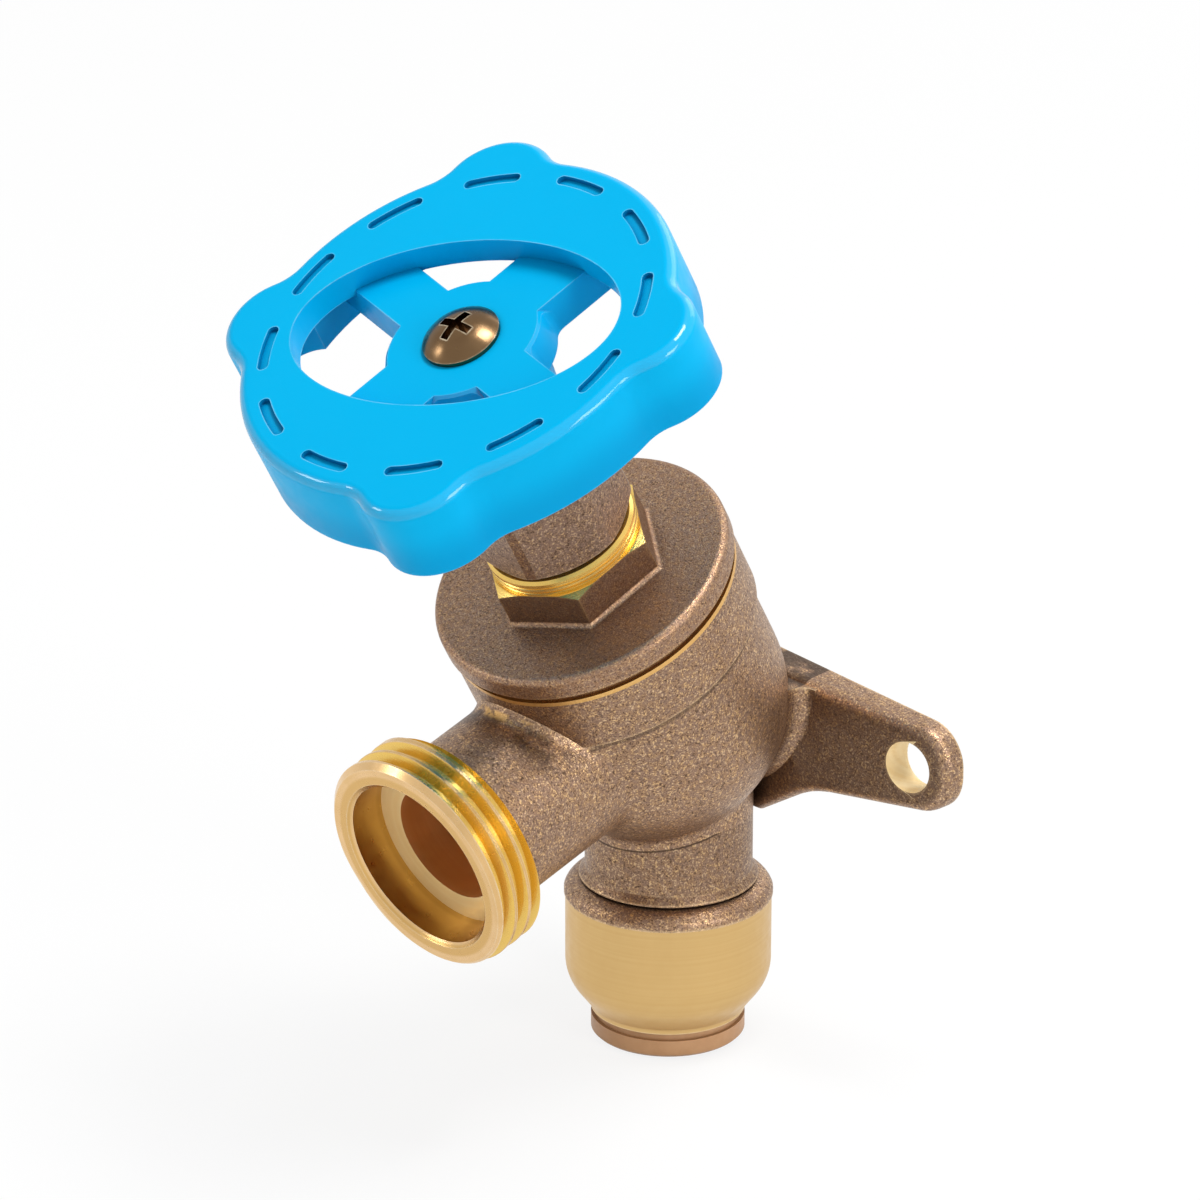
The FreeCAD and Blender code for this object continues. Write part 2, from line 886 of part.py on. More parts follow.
def upright(edge, low, high):
    """A straight edge along Z, off the axis, between two heights."""
    ends = [v.Point for v in edge.Vertexes]
    return (
        len(ends) == 2
        and math.hypot(ends[0].x - ends[1].x, ends[0].y - ends[1].y) < 0.01
        and abs(min(p.z for p in ends) - number(low)) < 0.02
        and abs(max(p.z for p in ends) - number(high)) < 0.02
    )


def notch(edge):
    """The line where a lobe meets the round rim."""
    if not upright(edge, z.rim_low, z.rim_top):
        return False
    point = edge.Vertexes[0].Point
    return abs(math.hypot(point.x, point.y) - number(z.rim_round)) < 0.05


names = edges_where(feature, notch)
feature = dress(handwheel, feature, "Fillet", names, 5)
names = edges_where(
    feature,
    lambda e: all(abs(v.Point.z - number(z.rim_top)) < 0.02 for v in e.Vertexes) and e.BoundBox.ZLength < 0.02,
)
feature = dress(handwheel, feature, "Fillet", names, z.rim_edge)

# hollow under the rim plate, following the lobes
base = new_sketch(handwheel, "XY_Plane", height=z.rim_low)
ring(base, 0, 0, z.rim_round - z.rim_wall)
feature = extrude(handwheel, base, z.rim_top - z.rim_plate - z.rim_low, cut=True, back=True)
lobes(handwheel, z.rim_low, z.lobe_round - z.rim_wall, z.rim_top - z.rim_plate - z.rim_low, cut=True)

# the oval opening inside the rim
base = new_sketch(handwheel, "XY_Plane", height=z.rim_low)
oval(base, z.open_long, z.open_short, z.open_turn)
feature = extrude(handwheel, base, z.rim_top - z.rim_low + 1, cut=True, back=True)

# hub and the four spokes
turn_on(
    handwheel,
    [
        (0, z.hub_low),
        (z.hub_round - 2.6, z.hub_low),
        (z.hub_round - 2.0, z.hub_low + 0.6),
        (z.hub_round - 1.2, z.spoke_low - 1.0),
        (z.hub_round + 0.6, z.spoke_low),
        (z.hub_round, z.hub_top - 0.3),
        (z.hub_round - 0.3, z.hub_top),
        (0, z.hub_top),
    ],
)
for turn, wide in ((z.spoke_turn, z.spoke_wide), (z.cross_turn, z.cross_wide)):
    base = new_sketch(handwheel, "XY_Plane", height=z.hub_top)
    reach = z.rim_round - z.rim_wall * 0.5
    half = wide * 0.5
    corners = [(reach, half), (-reach, half), (-reach, -half), (reach, -half)]
    outline(
        base,
        [(a * cosine(turn) - b * sine(turn), a * sine(turn) + b * cosine(turn)) for a, b in corners],
    )
    feature = extrude(handwheel, base, z.hub_top - z.spoke_low, back=True)
    feature.setExpression("TaperAngle", "sizes.spoke_draft * 1 deg")


def spoke_root(edge):
    """The edge where a side of a spoke meets the hub."""
    spot = edge.CenterOfMass
    tall = edge.BoundBox.ZLength
    far = math.hypot(spot.x, spot.y) - number(z.hub_round)
    return tall > 2.5 and abs(spot.z - number(z.hub_top + z.spoke_low) / 2) < 1 and -0.3 < far < 1.2


names = edges_where(feature, spoke_root)
dress(handwheel, feature, "Fillet", names, z.spoke_blend)

# shallow dashes round the rim, and the hole for the stem
base = new_sketch(handwheel, "XY_Plane", height=z.rim_top)
half = z.groove_wide * 0.5
low, high = z.groove_round - half, z.groove_round + half
start, end = -z.groove_turn, z.groove_turn
outline(
    base,
    [
        (low * cosine(start), low * sine(start)),
        (high * cosine(start), high * sine(start)),
        (high * cosine(end), high * sine(end)),
        (low * cosine(end), low * sine(end)),
    ],
    arcs={1: (high, (high, 0)), 3: (low, (low, 0))},
)
dash = extrude(handwheel, base, z.groove_deep, cut=True)
base = new_sketch(handwheel, "XY_Plane", height=z.rim_top)
for turn in (start, end):
    ring(base, z.groove_round * cosine(turn), z.groove_round * sine(turn), half)
ends = extrude(handwheel, base, z.groove_deep, cut=True)
dashes = handwheel.newObject("PartDesign::PolarPattern", "dashes")
dashes.Originals = [dash, ends]
dashes.Axis = (base, ["N_Axis"])
dashes.Angle = 360
dashes.Occurrences = 12
handwheel.Tip = dashes
turn_on(
    handwheel,
    [
        (0, z.hub_low - 1),
        (z.stem_round + 0.1, z.hub_low - 1),
        (z.stem_round + 0.1, z.shoulder_top),
        (0, z.shoulder_top),
    ],
    cut=True,
)
base = new_sketch(handwheel, "XY_Plane", height=z.shoulder_top - 1)
half = z.square_flat * 0.5 + 0.03
outline(base, [(half, half), (-half, half), (-half, -half), (half, -half)])
extrude(handwheel, base, z.hub_top - z.shoulder_top + 2, cut=True, back=True)

handwheel_screw = new_body("handwheel_screw", "stem")
turn_on(
    handwheel_screw,
    [
        (0, z.shoulder_top + 0.5),
        (z.screw_round - 0.5, z.shoulder_top + 0.5),
        (z.screw_round, z.shoulder_top + 1),
        (z.screw_round, z.hub_top),
        (z.head_round, z.hub_top),
        (z.head_round, z.hub_top + z.head_rim),
        (0, z.hub_top + z.head_high),
    ],
    arcs={5: (z.head_dome, (z.head_round * 0.55, z.hub_top + z.head_high * 0.85))},
)
for across, wide in ((z.cross_long, z.cross_slot), (z.cross_slot, z.cross_long)):
    base = new_sketch(handwheel_screw, "XY_Plane", height=z.hub_top + z.head_high)
    long, narrow = across * 0.5, wide * 0.5
    outline(base, [(long, narrow), (-long, narrow), (-long, -narrow), (long, -narrow)])
    extrude(handwheel_screw, base, z.head_high * 0.62, cut=True)

# push-in socket
sleeve = turned(
    "socket_sleeve",
    [
        (z.spigot_round + 0.02, z.shoulder_low),
        (z.sleeve_round, z.shoulder_low),
        (z.sleeve_round, sleeve_bend),
        (z.sleeve_lip, sleeve_neck),
        (z.sleeve_lip, sleeve_low),
        (z.collar_round + 0.06, sleeve_low),
        (z.collar_round + 0.06, sleeve_neck - 0.2),
        (z.spigot_round + 0.02, sleeve_bend - 1.0),
    ],
    "socket",
)
names = edges_where(sleeve.Tip, circle_at(z.sleeve_round, sleeve_bend))
bend = dress(sleeve, sleeve.Tip, "Fillet", names, z.bend_round)
names = edges_where(bend, circle_at(z.sleeve_lip, sleeve_neck))
dress(sleeve, bend, "Fillet", names, 1)

socket_oring = new_body("socket_oring", "socket")
base = new_sketch(socket_oring, "XZ_Plane")
ring(base, z.gland_bore - 0.94, z.gland_top + 0.94, Size(0.92, "0.92"))
feature = socket_oring.newObject("PartDesign::Revolution", "turned")
feature.Profile = base
feature.ReferenceAxis = (base, ["V_Axis"])
feature.Angle = 360

turned(
    "oring_spacer",
    [
        (z.pipe_bore + 0.05, z.gland_top + 1.9),
        (z.gland_bore - 0.05, z.gland_top + 1.9),
        (z.gland_bore - 0.05, z.gland_top + 2.9),
        (z.pipe_bore + 0.05, z.gland_top + 2.9),
    ],
    "socket",
)

grab_ring = new_body("grab_ring", "socket")
turn_on(
    grab_ring,
    [
        (z.pipe_bore + 0.07, z.spigot_low - 0.8),
        (z.pipe_bore + 0.3, z.spigot_low - 1.0),
        (z.gland_bore - 0.35, z.spigot_low),
        (z.spigot_round - 0.05, z.spigot_low),
        (z.spigot_round - 0.05, z.spigot_low + 0.4),
        (z.gland_bore - 0.35, z.spigot_low + 0.4),
    ],
)
base = new_sketch(grab_ring, "XY_Plane", height=z.spigot_low - 2)
outline(base, [(0, -0.35), (z.gland_bore - 0.5, -0.35), (z.gland_bore - 0.5, 0.35), (0, 0.35)])
slit = extrude(grab_ring, base, Size(4.0, "4"), cut=True, back=True)
teeth = grab_ring.newObject("PartDesign::PolarPattern", "teeth")
teeth.Originals = [slit]
teeth.Axis = (base, ["N_Axis"])
teeth.Angle = 360
teeth.Occurrences = 12
grab_ring.Tip = teeth

turned(
    "ring_guide",
    [
        (z.collar_round + 0.15, z.spigot_low + 0.4),
        (z.spigot_round - 0.03, z.spigot_low + 0.4),
        (z.spigot_round - 0.03, sleeve_bend - 3.0),
        (z.collar_round + 0.15, sleeve_bend - 3.0),
    ],
    "socket",
)
turned(
    "release_collar",
    [
        (z.pipe_bore, collar_nose + 0.5),
        (z.pipe_bore + 0.25, collar_nose),
        (z.collar_round, collar_nose),
        (z.collar_round, sleeve_bend - 0.9),
        (z.collar_round + z.collar_flange, sleeve_bend - 0.9),
        (z.collar_round + z.collar_flange, sleeve_bend + 1.0),
        (z.collar_round, sleeve_bend + 2.2),
        (z.collar_round, collar_top),
        (z.collar_lip, collar_top),
        (z.collar_lip, collar_low - 0.3),
        (z.collar_lip - 0.3, collar_low),
        (z.pipe_bore + 0.4, collar_low),
        (z.pipe_bore, collar_low - 0.6),
    ],
    "socket",
)

doc.recompute()
bodies = [item for item in doc.Objects if item.TypeId == "PartDesign::Body" and item not in (ears, web)]
for item in doc.Objects:
    if "Invalid" in item.State or "Error" in item.State:
        raise RuntimeError("%s is %s" % (item.Name, item.State))
for body in bodies:
    shape = body.Shape
    if shape.isNull() or not shape.isValid() or len(shape.Solids) != 1:
        raise RuntimeError("%s is not one good solid" % body.Label)

os.makedirs("parts", exist_ok=True)
for body in bodies:
    body.Shape.exportStep("parts/%s.step" % body.Label)
    print(body.Label, round(body.Shape.Volume, 1))
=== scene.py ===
import math

import bmesh
import bpy
from mathutils import Matrix, Vector


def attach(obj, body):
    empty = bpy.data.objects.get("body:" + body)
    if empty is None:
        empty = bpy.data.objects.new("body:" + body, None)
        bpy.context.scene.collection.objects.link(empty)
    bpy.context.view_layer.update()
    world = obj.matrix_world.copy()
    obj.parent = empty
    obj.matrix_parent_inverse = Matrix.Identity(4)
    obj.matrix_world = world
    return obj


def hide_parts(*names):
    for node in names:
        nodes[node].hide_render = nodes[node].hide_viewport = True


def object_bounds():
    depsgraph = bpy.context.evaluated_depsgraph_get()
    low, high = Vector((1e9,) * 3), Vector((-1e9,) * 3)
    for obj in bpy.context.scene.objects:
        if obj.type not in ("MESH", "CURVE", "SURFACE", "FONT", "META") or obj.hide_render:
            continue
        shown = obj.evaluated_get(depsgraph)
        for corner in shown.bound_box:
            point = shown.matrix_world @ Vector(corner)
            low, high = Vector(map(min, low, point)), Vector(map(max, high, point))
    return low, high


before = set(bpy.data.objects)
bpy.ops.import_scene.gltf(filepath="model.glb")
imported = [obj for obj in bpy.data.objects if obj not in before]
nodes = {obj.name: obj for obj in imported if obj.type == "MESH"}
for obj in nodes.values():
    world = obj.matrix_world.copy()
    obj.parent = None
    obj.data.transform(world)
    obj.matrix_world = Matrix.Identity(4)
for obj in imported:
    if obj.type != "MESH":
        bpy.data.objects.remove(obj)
cadLow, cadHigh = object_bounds()
millimetre = 0.001
print("frame loaded:", len(nodes), "solids")

# the valve's own three directions, each a starting point and a turn about X that carries Z onto it
axes = {
    "stem": {"foot": (0.0, -0.01594, 0.0021), "turn": math.radians(29.5)},
    "outlet": {"foot": (0.0, -0.0132, 0.00617), "turn": math.radians(106.0)},
    "socket": {"foot": (0.0, -0.0132, 0.0), "turn": math.radians(180.0)},
}


def axisMatrix(axis):
    place = axes[axis]
    return Matrix.Translation(place["foot"]) @ Matrix.Rotation(place["turn"], 4, "X")


def newNode(tree, kind, settings=None, **values):
    made = tree.nodes.new(kind)
    for name, value in (settings or {}).items():
        setattr(made, name, value)
    for name, value in values.items():
        # i0, i1 and so on name an input by its place, any other name is its label
        byPlace = name[0] == "i" and name[1:].isdigit()
        socket = made.inputs[int(name[1:])] if byPlace else made.inputs[name.replace("_", " ")]
        if isinstance(value, bpy.types.NodeSocket):
            tree.links.new(value, socket)
        else:
            socket.default_value = value
    return made


def sums(tree, operation, first, second=0.0, clamp=False):
    settings = {"operation": operation, "use_clamp": clamp}
    return newNode(tree, "ShaderNodeMath", settings, i0=first, i1=second).outputs[0]


def product(tree, first, *others):
    for other in others:
        first = sums(tree, "MULTIPLY", first, other)
    return first


def largest(tree, first, *others):
    for other in others:
        first = sums(tree, "MAXIMUM", first, other)
    return first


def ramped(tree, value, low, high, toLow=0.0, toHigh=1.0, smooth=True):
    kind = "SMOOTHSTEP" if smooth else "LINEAR"
    made = newNode(tree, "ShaderNodeMapRange", {"interpolation_type": kind}, Value=value, From_Min=low,
                   From_Max=high, To_Min=toLow, To_Max=toHigh)
    return made.outputs[0]


def noise(tree, place, scale, octaves=3.0, gain=0.6):
    made = newNode(tree, "ShaderNodeTexNoise", None, Vector=place, Scale=scale, Detail=octaves,
                   Roughness=gain)
    return made.outputs["Fac"]


def blended(tree, amount, first, second):
    made = newNode(tree, "ShaderNodeMix", {"data_type": "RGBA"})
    for socket, value in ((made.inputs["Factor"], amount), (made.inputs[6], first), (made.inputs[7], second)):
        if isinstance(value, bpy.types.NodeSocket):
            tree.links.new(value, socket)
        elif isinstance(value, float):
            socket.default_value = value
        else:
            socket.default_value = (*value, 1.0)
    return made.outputs[2]


def newGroup(name, inputs, outputs):
    tree = bpy.data.node_groups.new(name, "ShaderNodeTree")
    for label, kind, value in inputs:
        socket = tree.interface.new_socket(label, in_out="INPUT", socket_type=kind)
        if value is not None:
            socket.default_value = value
    for label in outputs:
        tree.interface.new_socket(label, in_out="OUTPUT", socket_type="NodeSocketFloat")
    return tree, tree.nodes.new("NodeGroupInput").outputs, tree.nodes.new("NodeGroupOutput").inputs


# the three effects that more than one finish uses; a pair is where a mask starts and where it is full
grainSizes = {"coarse": 0.45, "broad": 0.03, "tone": 0.30, "fineShare": 0.62, "flecked": (0.53, 0.64),
              "pitted": (0.47, 0.37), "mottled": (0.30, 0.70), "toned": (0.38, 0.62)}


def makeSandGrain(sizes):
    tree, given, out = newGroup(
        "sandGrain",
        [("Vector", "NodeSocketVector", None), ("Grains per metre", "NodeSocketFloat", 5200.0)],
        ["Fleck", "Pit", "Mottle", "Tone", "Height"],
    )
    spot, size = given["Vector"], given["Grains per metre"]
    fine = noise(tree, spot, size, octaves=1.0)
    coarse = noise(tree, spot, product(tree, size, sizes["coarse"]), octaves=2.0)
    broad = noise(tree, spot, product(tree, size, sizes["broad"]), gain=0.55)
    tone = noise(tree, spot, product(tree, size, sizes["tone"]), octaves=1.0, gain=0.5)
    grains = sums(tree, "ADD", product(tree, fine, sizes["fineShare"]),
                  product(tree, coarse, 1.0 - sizes["fineShare"]))
    tree.links.new(ramped(tree, grains, *sizes["flecked"]), out["Fleck"])
    tree.links.new(ramped(tree, grains, *sizes["pitted"]), out["Pit"])
    tree.links.new(ramped(tree, broad, *sizes["mottled"]), out["Mottle"])
    tree.links.new(ramped(tree, tone, *sizes["toned"]), out["Tone"])
    tree.links.new(grains, out["Height"])
    return tree


edgeSizes = {"samples": 6, "bent": (0.995, 0.86), "open": (0.72, 0.93), "hidden": (0.85, 0.30),
             "broken": (0.30, 0.62), "leastWear": 0.35}


# worn edges, and painted shade in hollows and between parts, from ambient occlusion
def makeEdgeWearAndShade(sizes):
    tree, given, out = newGroup(
        "edgeWearAndShade",
        [("Width", "NodeSocketFloat", 0.0006), ("Vector", "NodeSocketVector", None),
         ("Breaks per metre", "NodeSocketFloat", 900.0), ("Reach", "NodeSocketFloat", 0.0022)],
        ["Mask", "PaintedShade"],
    )
    bevel = newNode(tree, "ShaderNodeBevel", {"samples": sizes["samples"]}, Radius=given["Width"])
    plain = newNode(tree, "ShaderNodeNewGeometry").outputs["Normal"]
    match = newNode(tree, "ShaderNodeVectorMath", {"operation": "DOT_PRODUCT"}, i0=bevel.outputs[0], i1=plain)
    edges = ramped(tree, match.outputs["Value"], *sizes["bent"])
    hollow = newNode(tree, "ShaderNodeAmbientOcclusion", {"samples": sizes["samples"]},
                     Distance=given["Reach"])
    openness = hollow.outputs["AO"]
    raised = ramped(tree, openness, *sizes["open"])
    broken = ramped(tree, noise(tree, given["Vector"], given["Breaks per metre"]), *sizes["broken"],
                    toLow=sizes["leastWear"])
    mask = sums(tree, "MULTIPLY", product(tree, edges, raised), broken, clamp=True)
    tree.links.new(mask, out["Mask"])
    # painted shade: full where ambient occlusion finds the surface hemmed in
    tree.links.new(ramped(tree, openness, *sizes["hidden"]), out["PaintedShade"])
    return tree


ringSizes = {"slow": 0.12, "toned": (0.3, 0.7), "octaves": 3.0, "gain": 0.7, "slowOctaves": 2.0}


def makeTurnedRings(sizes):
    tree, given, out = newGroup(
        "turnedRings",
        [("Vector", "NodeSocketVector", None), ("Rings per metre", "NodeSocketFloat", 6000.0)],
        ["Height", "Tone", "Along", "Across"],
    )
    parts = newNode(tree, "ShaderNodeSeparateXYZ", None, Vector=given["Vector"]).outputs
    across = sums(tree, "SQRT", sums(tree, "ADD", product(tree, parts[0], parts[0]),
                                     product(tree, parts[1], parts[1])))
    way = sums(tree, "ADD", across, parts[2])
    rings = newNode(tree, "ShaderNodeTexNoise", {"noise_dimensions": "1D"}, W=way,
                    Scale=given["Rings per metre"], Detail=sizes["octaves"], Roughness=sizes["gain"])
    slow = newNode(tree, "ShaderNodeTexNoise", {"noise_dimensions": "1D"}, W=way,
                   Scale=product(tree, given["Rings per metre"], sizes["slow"]), Detail=sizes["slowOctaves"])
    tree.links.new(rings.outputs["Fac"], out["Height"])
    tree.links.new(ramped(tree, slow.outputs["Fac"], *sizes["toned"]), out["Tone"])
    tree.links.new(parts[2], out["Along"])
    tree.links.new(across, out["Across"])
    return tree


sandGrain = makeSandGrain(grainSizes)
edgeWearAndShade = makeEdgeWearAndShade(edgeSizes)
turnedRings = makeTurnedRings(ringSizes)
print("shared effects made")


def placed(tree, group, **values):
    return newNode(tree, "ShaderNodeGroup", {"node_tree": group}, **values).outputs


def startMaterial(name):
    material = bpy.data.materials.new(name)
    material.use_nodes = True
    tree = material.node_tree
    tree.nodes.clear()
    shader = newNode(tree, "ShaderNodeBsdfPrincipled")
    end = newNode(tree, "ShaderNodeOutputMaterial")
    tree.links.new(shader.outputs[0], end.inputs[0])
    spot = newNode(tree, "ShaderNodeTexCoord").outputs["Object"]
    return material, tree, shader, spot


def alongAxis(tree, spot, axis):
    place = axes[axis]
    made = newNode(tree, "ShaderNodeMapping", {"vector_type": "TEXTURE"}, Vector=spot, Location=place["foot"],
                   Rotation=(place["turn"], 0.0, 0.0))
    return made.outputs[0]


def facingAlong(tree, axis):
    way = Matrix.Rotation(axes[axis]["turn"], 4, "X") @ Vector((0, 0, 1))
    normal = newNode(tree, "ShaderNodeNewGeometry").outputs["Normal"]
    made = newNode(tree, "ShaderNodeVectorMath", {"operation": "DOT_PRODUCT"}, i0=normal, i1=way)
    return made.outputs["Value"]


def lineAt(tree, value, place, width, core=0.35):
    # a soft line along value = place, at its full strength over the core share of its width
    away = sums(tree, "ABSOLUTE", sums(tree, "SUBTRACT", value, place))
    return ramped(tree, away, width, width * core)


def distanceFrom(tree, spot, middle):
    made = newNode(tree, "ShaderNodeVectorMath", {"operation": "DISTANCE"}, i0=spot, i1=middle)
    return made.outputs["Value"]


def bumped(tree, shader, height, strength, depth):
    made = newNode(tree, "ShaderNodeBump", None, Strength=strength, Distance=depth, Height=height)
    tree.links.new(made.outputs[0], shader.inputs["Normal"])


castSizes = {
    "dark": (0.070, 0.042, 0.028), "brown": (0.35, 0.212, 0.130), "warm": (0.44, 0.262, 0.145),
    "fleck": (1.0, 0.70, 0.40), "glint": (1.0, 0.66, 0.30), "mauve": (0.30, 0.20, 0.155),
    "worn": (0.97, 0.70, 0.40), "gold": (0.84, 0.50, 0.16), "grains": 4700.0, "edge": 0.0007,
    "mottle": 0.4, "pits": 0.8, "tones": 0.45, "flecks": 0.62, "creviceShadeAmount": 0.8, "wearAndHighlight": 0.75, "earShadeAndDarkNeck": 0.55,
    "marksAndShade": 0.85, "heights": (0.35, 0.65), "roughest": 0.52, "smoothest": 0.34, "metal": 0.9,
    "bump": 0.65, "depth": 0.00012,
}

# marks on the body, in metres along the axes and from them: painted shade in the bulb's crease, a painted
# shadow under the flange and on the tube's top, painted shade on the ears' fronts, a darker neck, and rubbed
# and turned gold
marksAndShadeSizes = {
    "bulbMiddle": (0.0, -0.017417, 0.004711), "neckCrease": 0.0182, "creaseWidth": 0.00016,
    "neckRound": 0.0105, "neckDull": 0.38,
    "flangeLine": 0.0124, "flangeWidth": 0.00045, "flangeDark": 0.65,
    "barrelRound": 0.0168, "barrelWidth": 0.0009,
    "rubRound": 0.0182, "rubWidth": 0.0010, "tubeRound": 0.01055, "rubNarrow": 0.00045, "rubLow": 0.0120,
    "rubSide": 0.0065, "rubFull": 0.0026, "rubBreaks": 620.0, "rubBroken": (0.44, 0.56), "rubGold": 0.55,
    "jointTop": 0.02035, "jointRound": 0.0168, "jointGold": 0.85,
    "shadowBlotchSize": 260.0, "shadowBlotched": (0.36, 0.52), "shadowFacing": (0.30, 0.80), "shadowRound": 0.0135,
    "shadowEnd": 0.0305, "shadowFull": 0.0255, "stainAndShadow": 1.0,
    "earFacing": (-0.80, -0.97), "earFace": -0.0062, "earFade": 0.001,
}


def marksAndShadeOnBody(tree, spot, given):
    stem = placed(tree, turnedRings, Vector=alongAxis(tree, spot, "stem"))
    socket = placed(tree, turnedRings, Vector=alongAxis(tree, spot, "socket"))
    outlet = placed(tree, turnedRings, Vector=alongAxis(tree, spot, "outlet"))
    parts = newNode(tree, "ShaderNodeSeparateXYZ", None, Vector=spot).outputs
    normal = newNode(tree, "ShaderNodeNewGeometry").outputs["Normal"]
    facing = newNode(tree, "ShaderNodeSeparateXYZ", None, Vector=normal).outputs
    # painted shade in the crease where the bulb ends on the neck, and a painted shadow along the line under
    # the flange
    fromBulb = distanceFrom(tree, spot, given["bulbMiddle"])
    inNeck = product(tree, sums(tree, "LESS_THAN", socket["Across"], given["neckRound"]),
                     sums(tree, "GREATER_THAN", socket["Along"], given["neckRound"]))
    creaseShade = product(tree, lineAt(tree, fromBulb, given["neckCrease"], given["creaseWidth"]), inNeck)
    flangeShadow = product(tree, lineAt(tree, stem["Along"], given["flangeLine"], given["flangeWidth"]),
                     lineAt(tree, stem["Across"], given["barrelRound"], given["barrelWidth"]),
                     given["flangeDark"])
    # the fold between flange and tube is rubbed bright on top, and the joint under the gasket is turned
    broken = ramped(tree, noise(tree, spot, given["rubBreaks"]), *given["rubBroken"])
    sideways = sums(tree, "ABSOLUTE", parts[0])
    rub = product(tree, lineAt(tree, stem["Across"], given["rubRound"], given["rubWidth"]),
                  lineAt(tree, outlet["Across"], given["tubeRound"], given["rubNarrow"]),
                  sums(tree, "GREATER_THAN", outlet["Along"], given["tubeRound"]),
                  sums(tree, "GREATER_THAN", stem["Along"], given["rubLow"]),
                  ramped(tree, sideways, given["rubSide"], given["rubFull"]), broken, given["rubGold"])
    joint = product(tree, sums(tree, "GREATER_THAN", stem["Along"], given["jointTop"]),
                    sums(tree, "GREATER_THAN", stem["Across"], given["jointRound"]), given["jointGold"])
    # a painted shadow of the wheel and flange, broken into blotches, on the top of the tube near the flange
    stainAndShadow = product(tree, ramped(tree, facing[2], *given["shadowFacing"]),
                    ramped(tree, noise(tree, spot, given["shadowBlotchSize"]), *given["shadowBlotched"]),
                    sums(tree, "LESS_THAN", outlet["Across"], given["shadowRound"]),
                    ramped(tree, outlet["Along"], given["shadowEnd"], given["shadowFull"]), given["stainAndShadow"])
    # painted shade on the flat front of the ears, near the wall plate, and the neck is darker too
    earShade = product(tree, ramped(tree, facing[1], *given["earFacing"]),
                   ramped(tree, parts[1], given["earFace"], given["earFace"] + given["earFade"]))
    neck = product(tree, inNeck, sums(tree, "GREATER_THAN", fromBulb, given["neckCrease"]), given["neckDull"])
    return largest(tree, creaseShade, flangeShadow, stainAndShadow), largest(tree, rub, joint), largest(tree, earShade, neck)


# where the bonnet is turned bright, and how much painted shade its hexagon's sides get, in metres along the
# stem and from it
bonnetGold = {
    "bevelFacing": 0.25, "bevelLow": 0.0275, "ringLow": 0.0294, "spigotTop": 0.02175, "hexRound": 0.0145,
    "sideFacing": 0.2, "side": 0.5, "deep": (0.80, 0.50, 0.10), "light": (0.95, 0.66, 0.20),
    "rings": 5200.0, "rough": 0.24, "bump": 0.25,
}


def goldOfBonnet(tree, spot, given):
    place = placed(tree, turnedRings, Vector=alongAxis(tree, spot, "stem"))
    facing = facingAlong(tree, "stem")
    bevel = product(tree, sums(tree, "GREATER_THAN", facing, given["bevelFacing"]),
                    sums(tree, "GREATER_THAN", place["Along"], given["bevelLow"]))
    above = sums(tree, "GREATER_THAN", place["Along"], given["ringLow"])
    below = sums(tree, "LESS_THAN", place["Along"], given["spigotTop"])
    # painted shade on the sides of the hexagon, standing for their dark reflection of the disc
    side = product(tree, sums(tree, "LESS_THAN", place["Across"], given["hexRound"]),
                   sums(tree, "LESS_THAN", sums(tree, "ABSOLUTE", facing), given["sideFacing"]))
    return largest(tree, bevel, above, below), side


def castMetal(name, given, marksAndShade=None, gold=None):
    material, tree, shader, spot = startMaterial(name)
    grain = placed(tree, sandGrain, Vector=spot, Grains_per_metre=given["grains"])
    wearAndHighlight = placed(tree, edgeWearAndShade, Vector=spot, Width=given["edge"])
    colour = blended(tree, product(tree, grain["Mottle"], given["mottle"]), given["brown"], given["warm"])
    colour = blended(tree, product(tree, grain["Pit"], given["pits"]), colour, given["dark"])
    colour = blended(tree, product(tree, grain["Tone"], given["tones"]), colour, given["mauve"])
    fleck = blended(tree, grain["Tone"], given["glint"], given["fleck"])
    colour = blended(tree, product(tree, grain["Fleck"], given["flecks"]), colour, fleck)
    # painted shade: darker colour in hollows, from the ambient occlusion mask
    colour = blended(tree, product(tree, wearAndHighlight["PaintedShade"], given["creviceShadeAmount"]), colour, given["dark"])
    colour = blended(tree, product(tree, wearAndHighlight["Mask"], given["wearAndHighlight"]), colour, given["worn"])
    height = grain["Height"]
    rough = ramped(tree, height, *given["heights"], given["roughest"], given["smoothest"], smooth=False)
    if marksAndShade:
        # the ears' painted shade and the darker neck, then painted shade and shadow in the crease, under the
        # flange and on the tube, then the rubbed and turned gold
        dark, rubbed, earShadeAndDarkNeck = marksAndShadeOnBody(tree, spot, marksAndShade)
        colour = blended(tree, product(tree, earShadeAndDarkNeck, given["earShadeAndDarkNeck"]), colour, given["dark"])
        colour = blended(tree, product(tree, dark, given["marksAndShade"]), colour, given["dark"])
        colour = blended(tree, rubbed, colour, given["gold"])
    if gold:
        mask, side = goldOfBonnet(tree, spot, gold)
        rings = placed(tree, turnedRings, Vector=alongAxis(tree, spot, "stem"), Rings_per_metre=gold["rings"])
        # painted shade on the hexagon's sides
        colour = blended(tree, product(tree, side, gold["side"]), colour, given["dark"])
        colour = blended(tree, mask, colour, blended(tree, rings["Tone"], gold["deep"], gold["light"]))
        rough = newNode(tree, "ShaderNodeMix", None, Factor=mask, A=rough, B=gold["rough"]).outputs[0]
        height = newNode(tree, "ShaderNodeMix", None, Factor=mask, A=height,
                         B=product(tree, rings["Height"], gold["bump"])).outputs[0]
    tree.links.new(colour, shader.inputs["Base Color"])
    tree.links.new(rough, shader.inputs["Roughness"])
    shader.inputs["Metallic"].default_value = given["metal"]
    bumped(tree, shader, height, given["bump"], given["depth"])
    return material
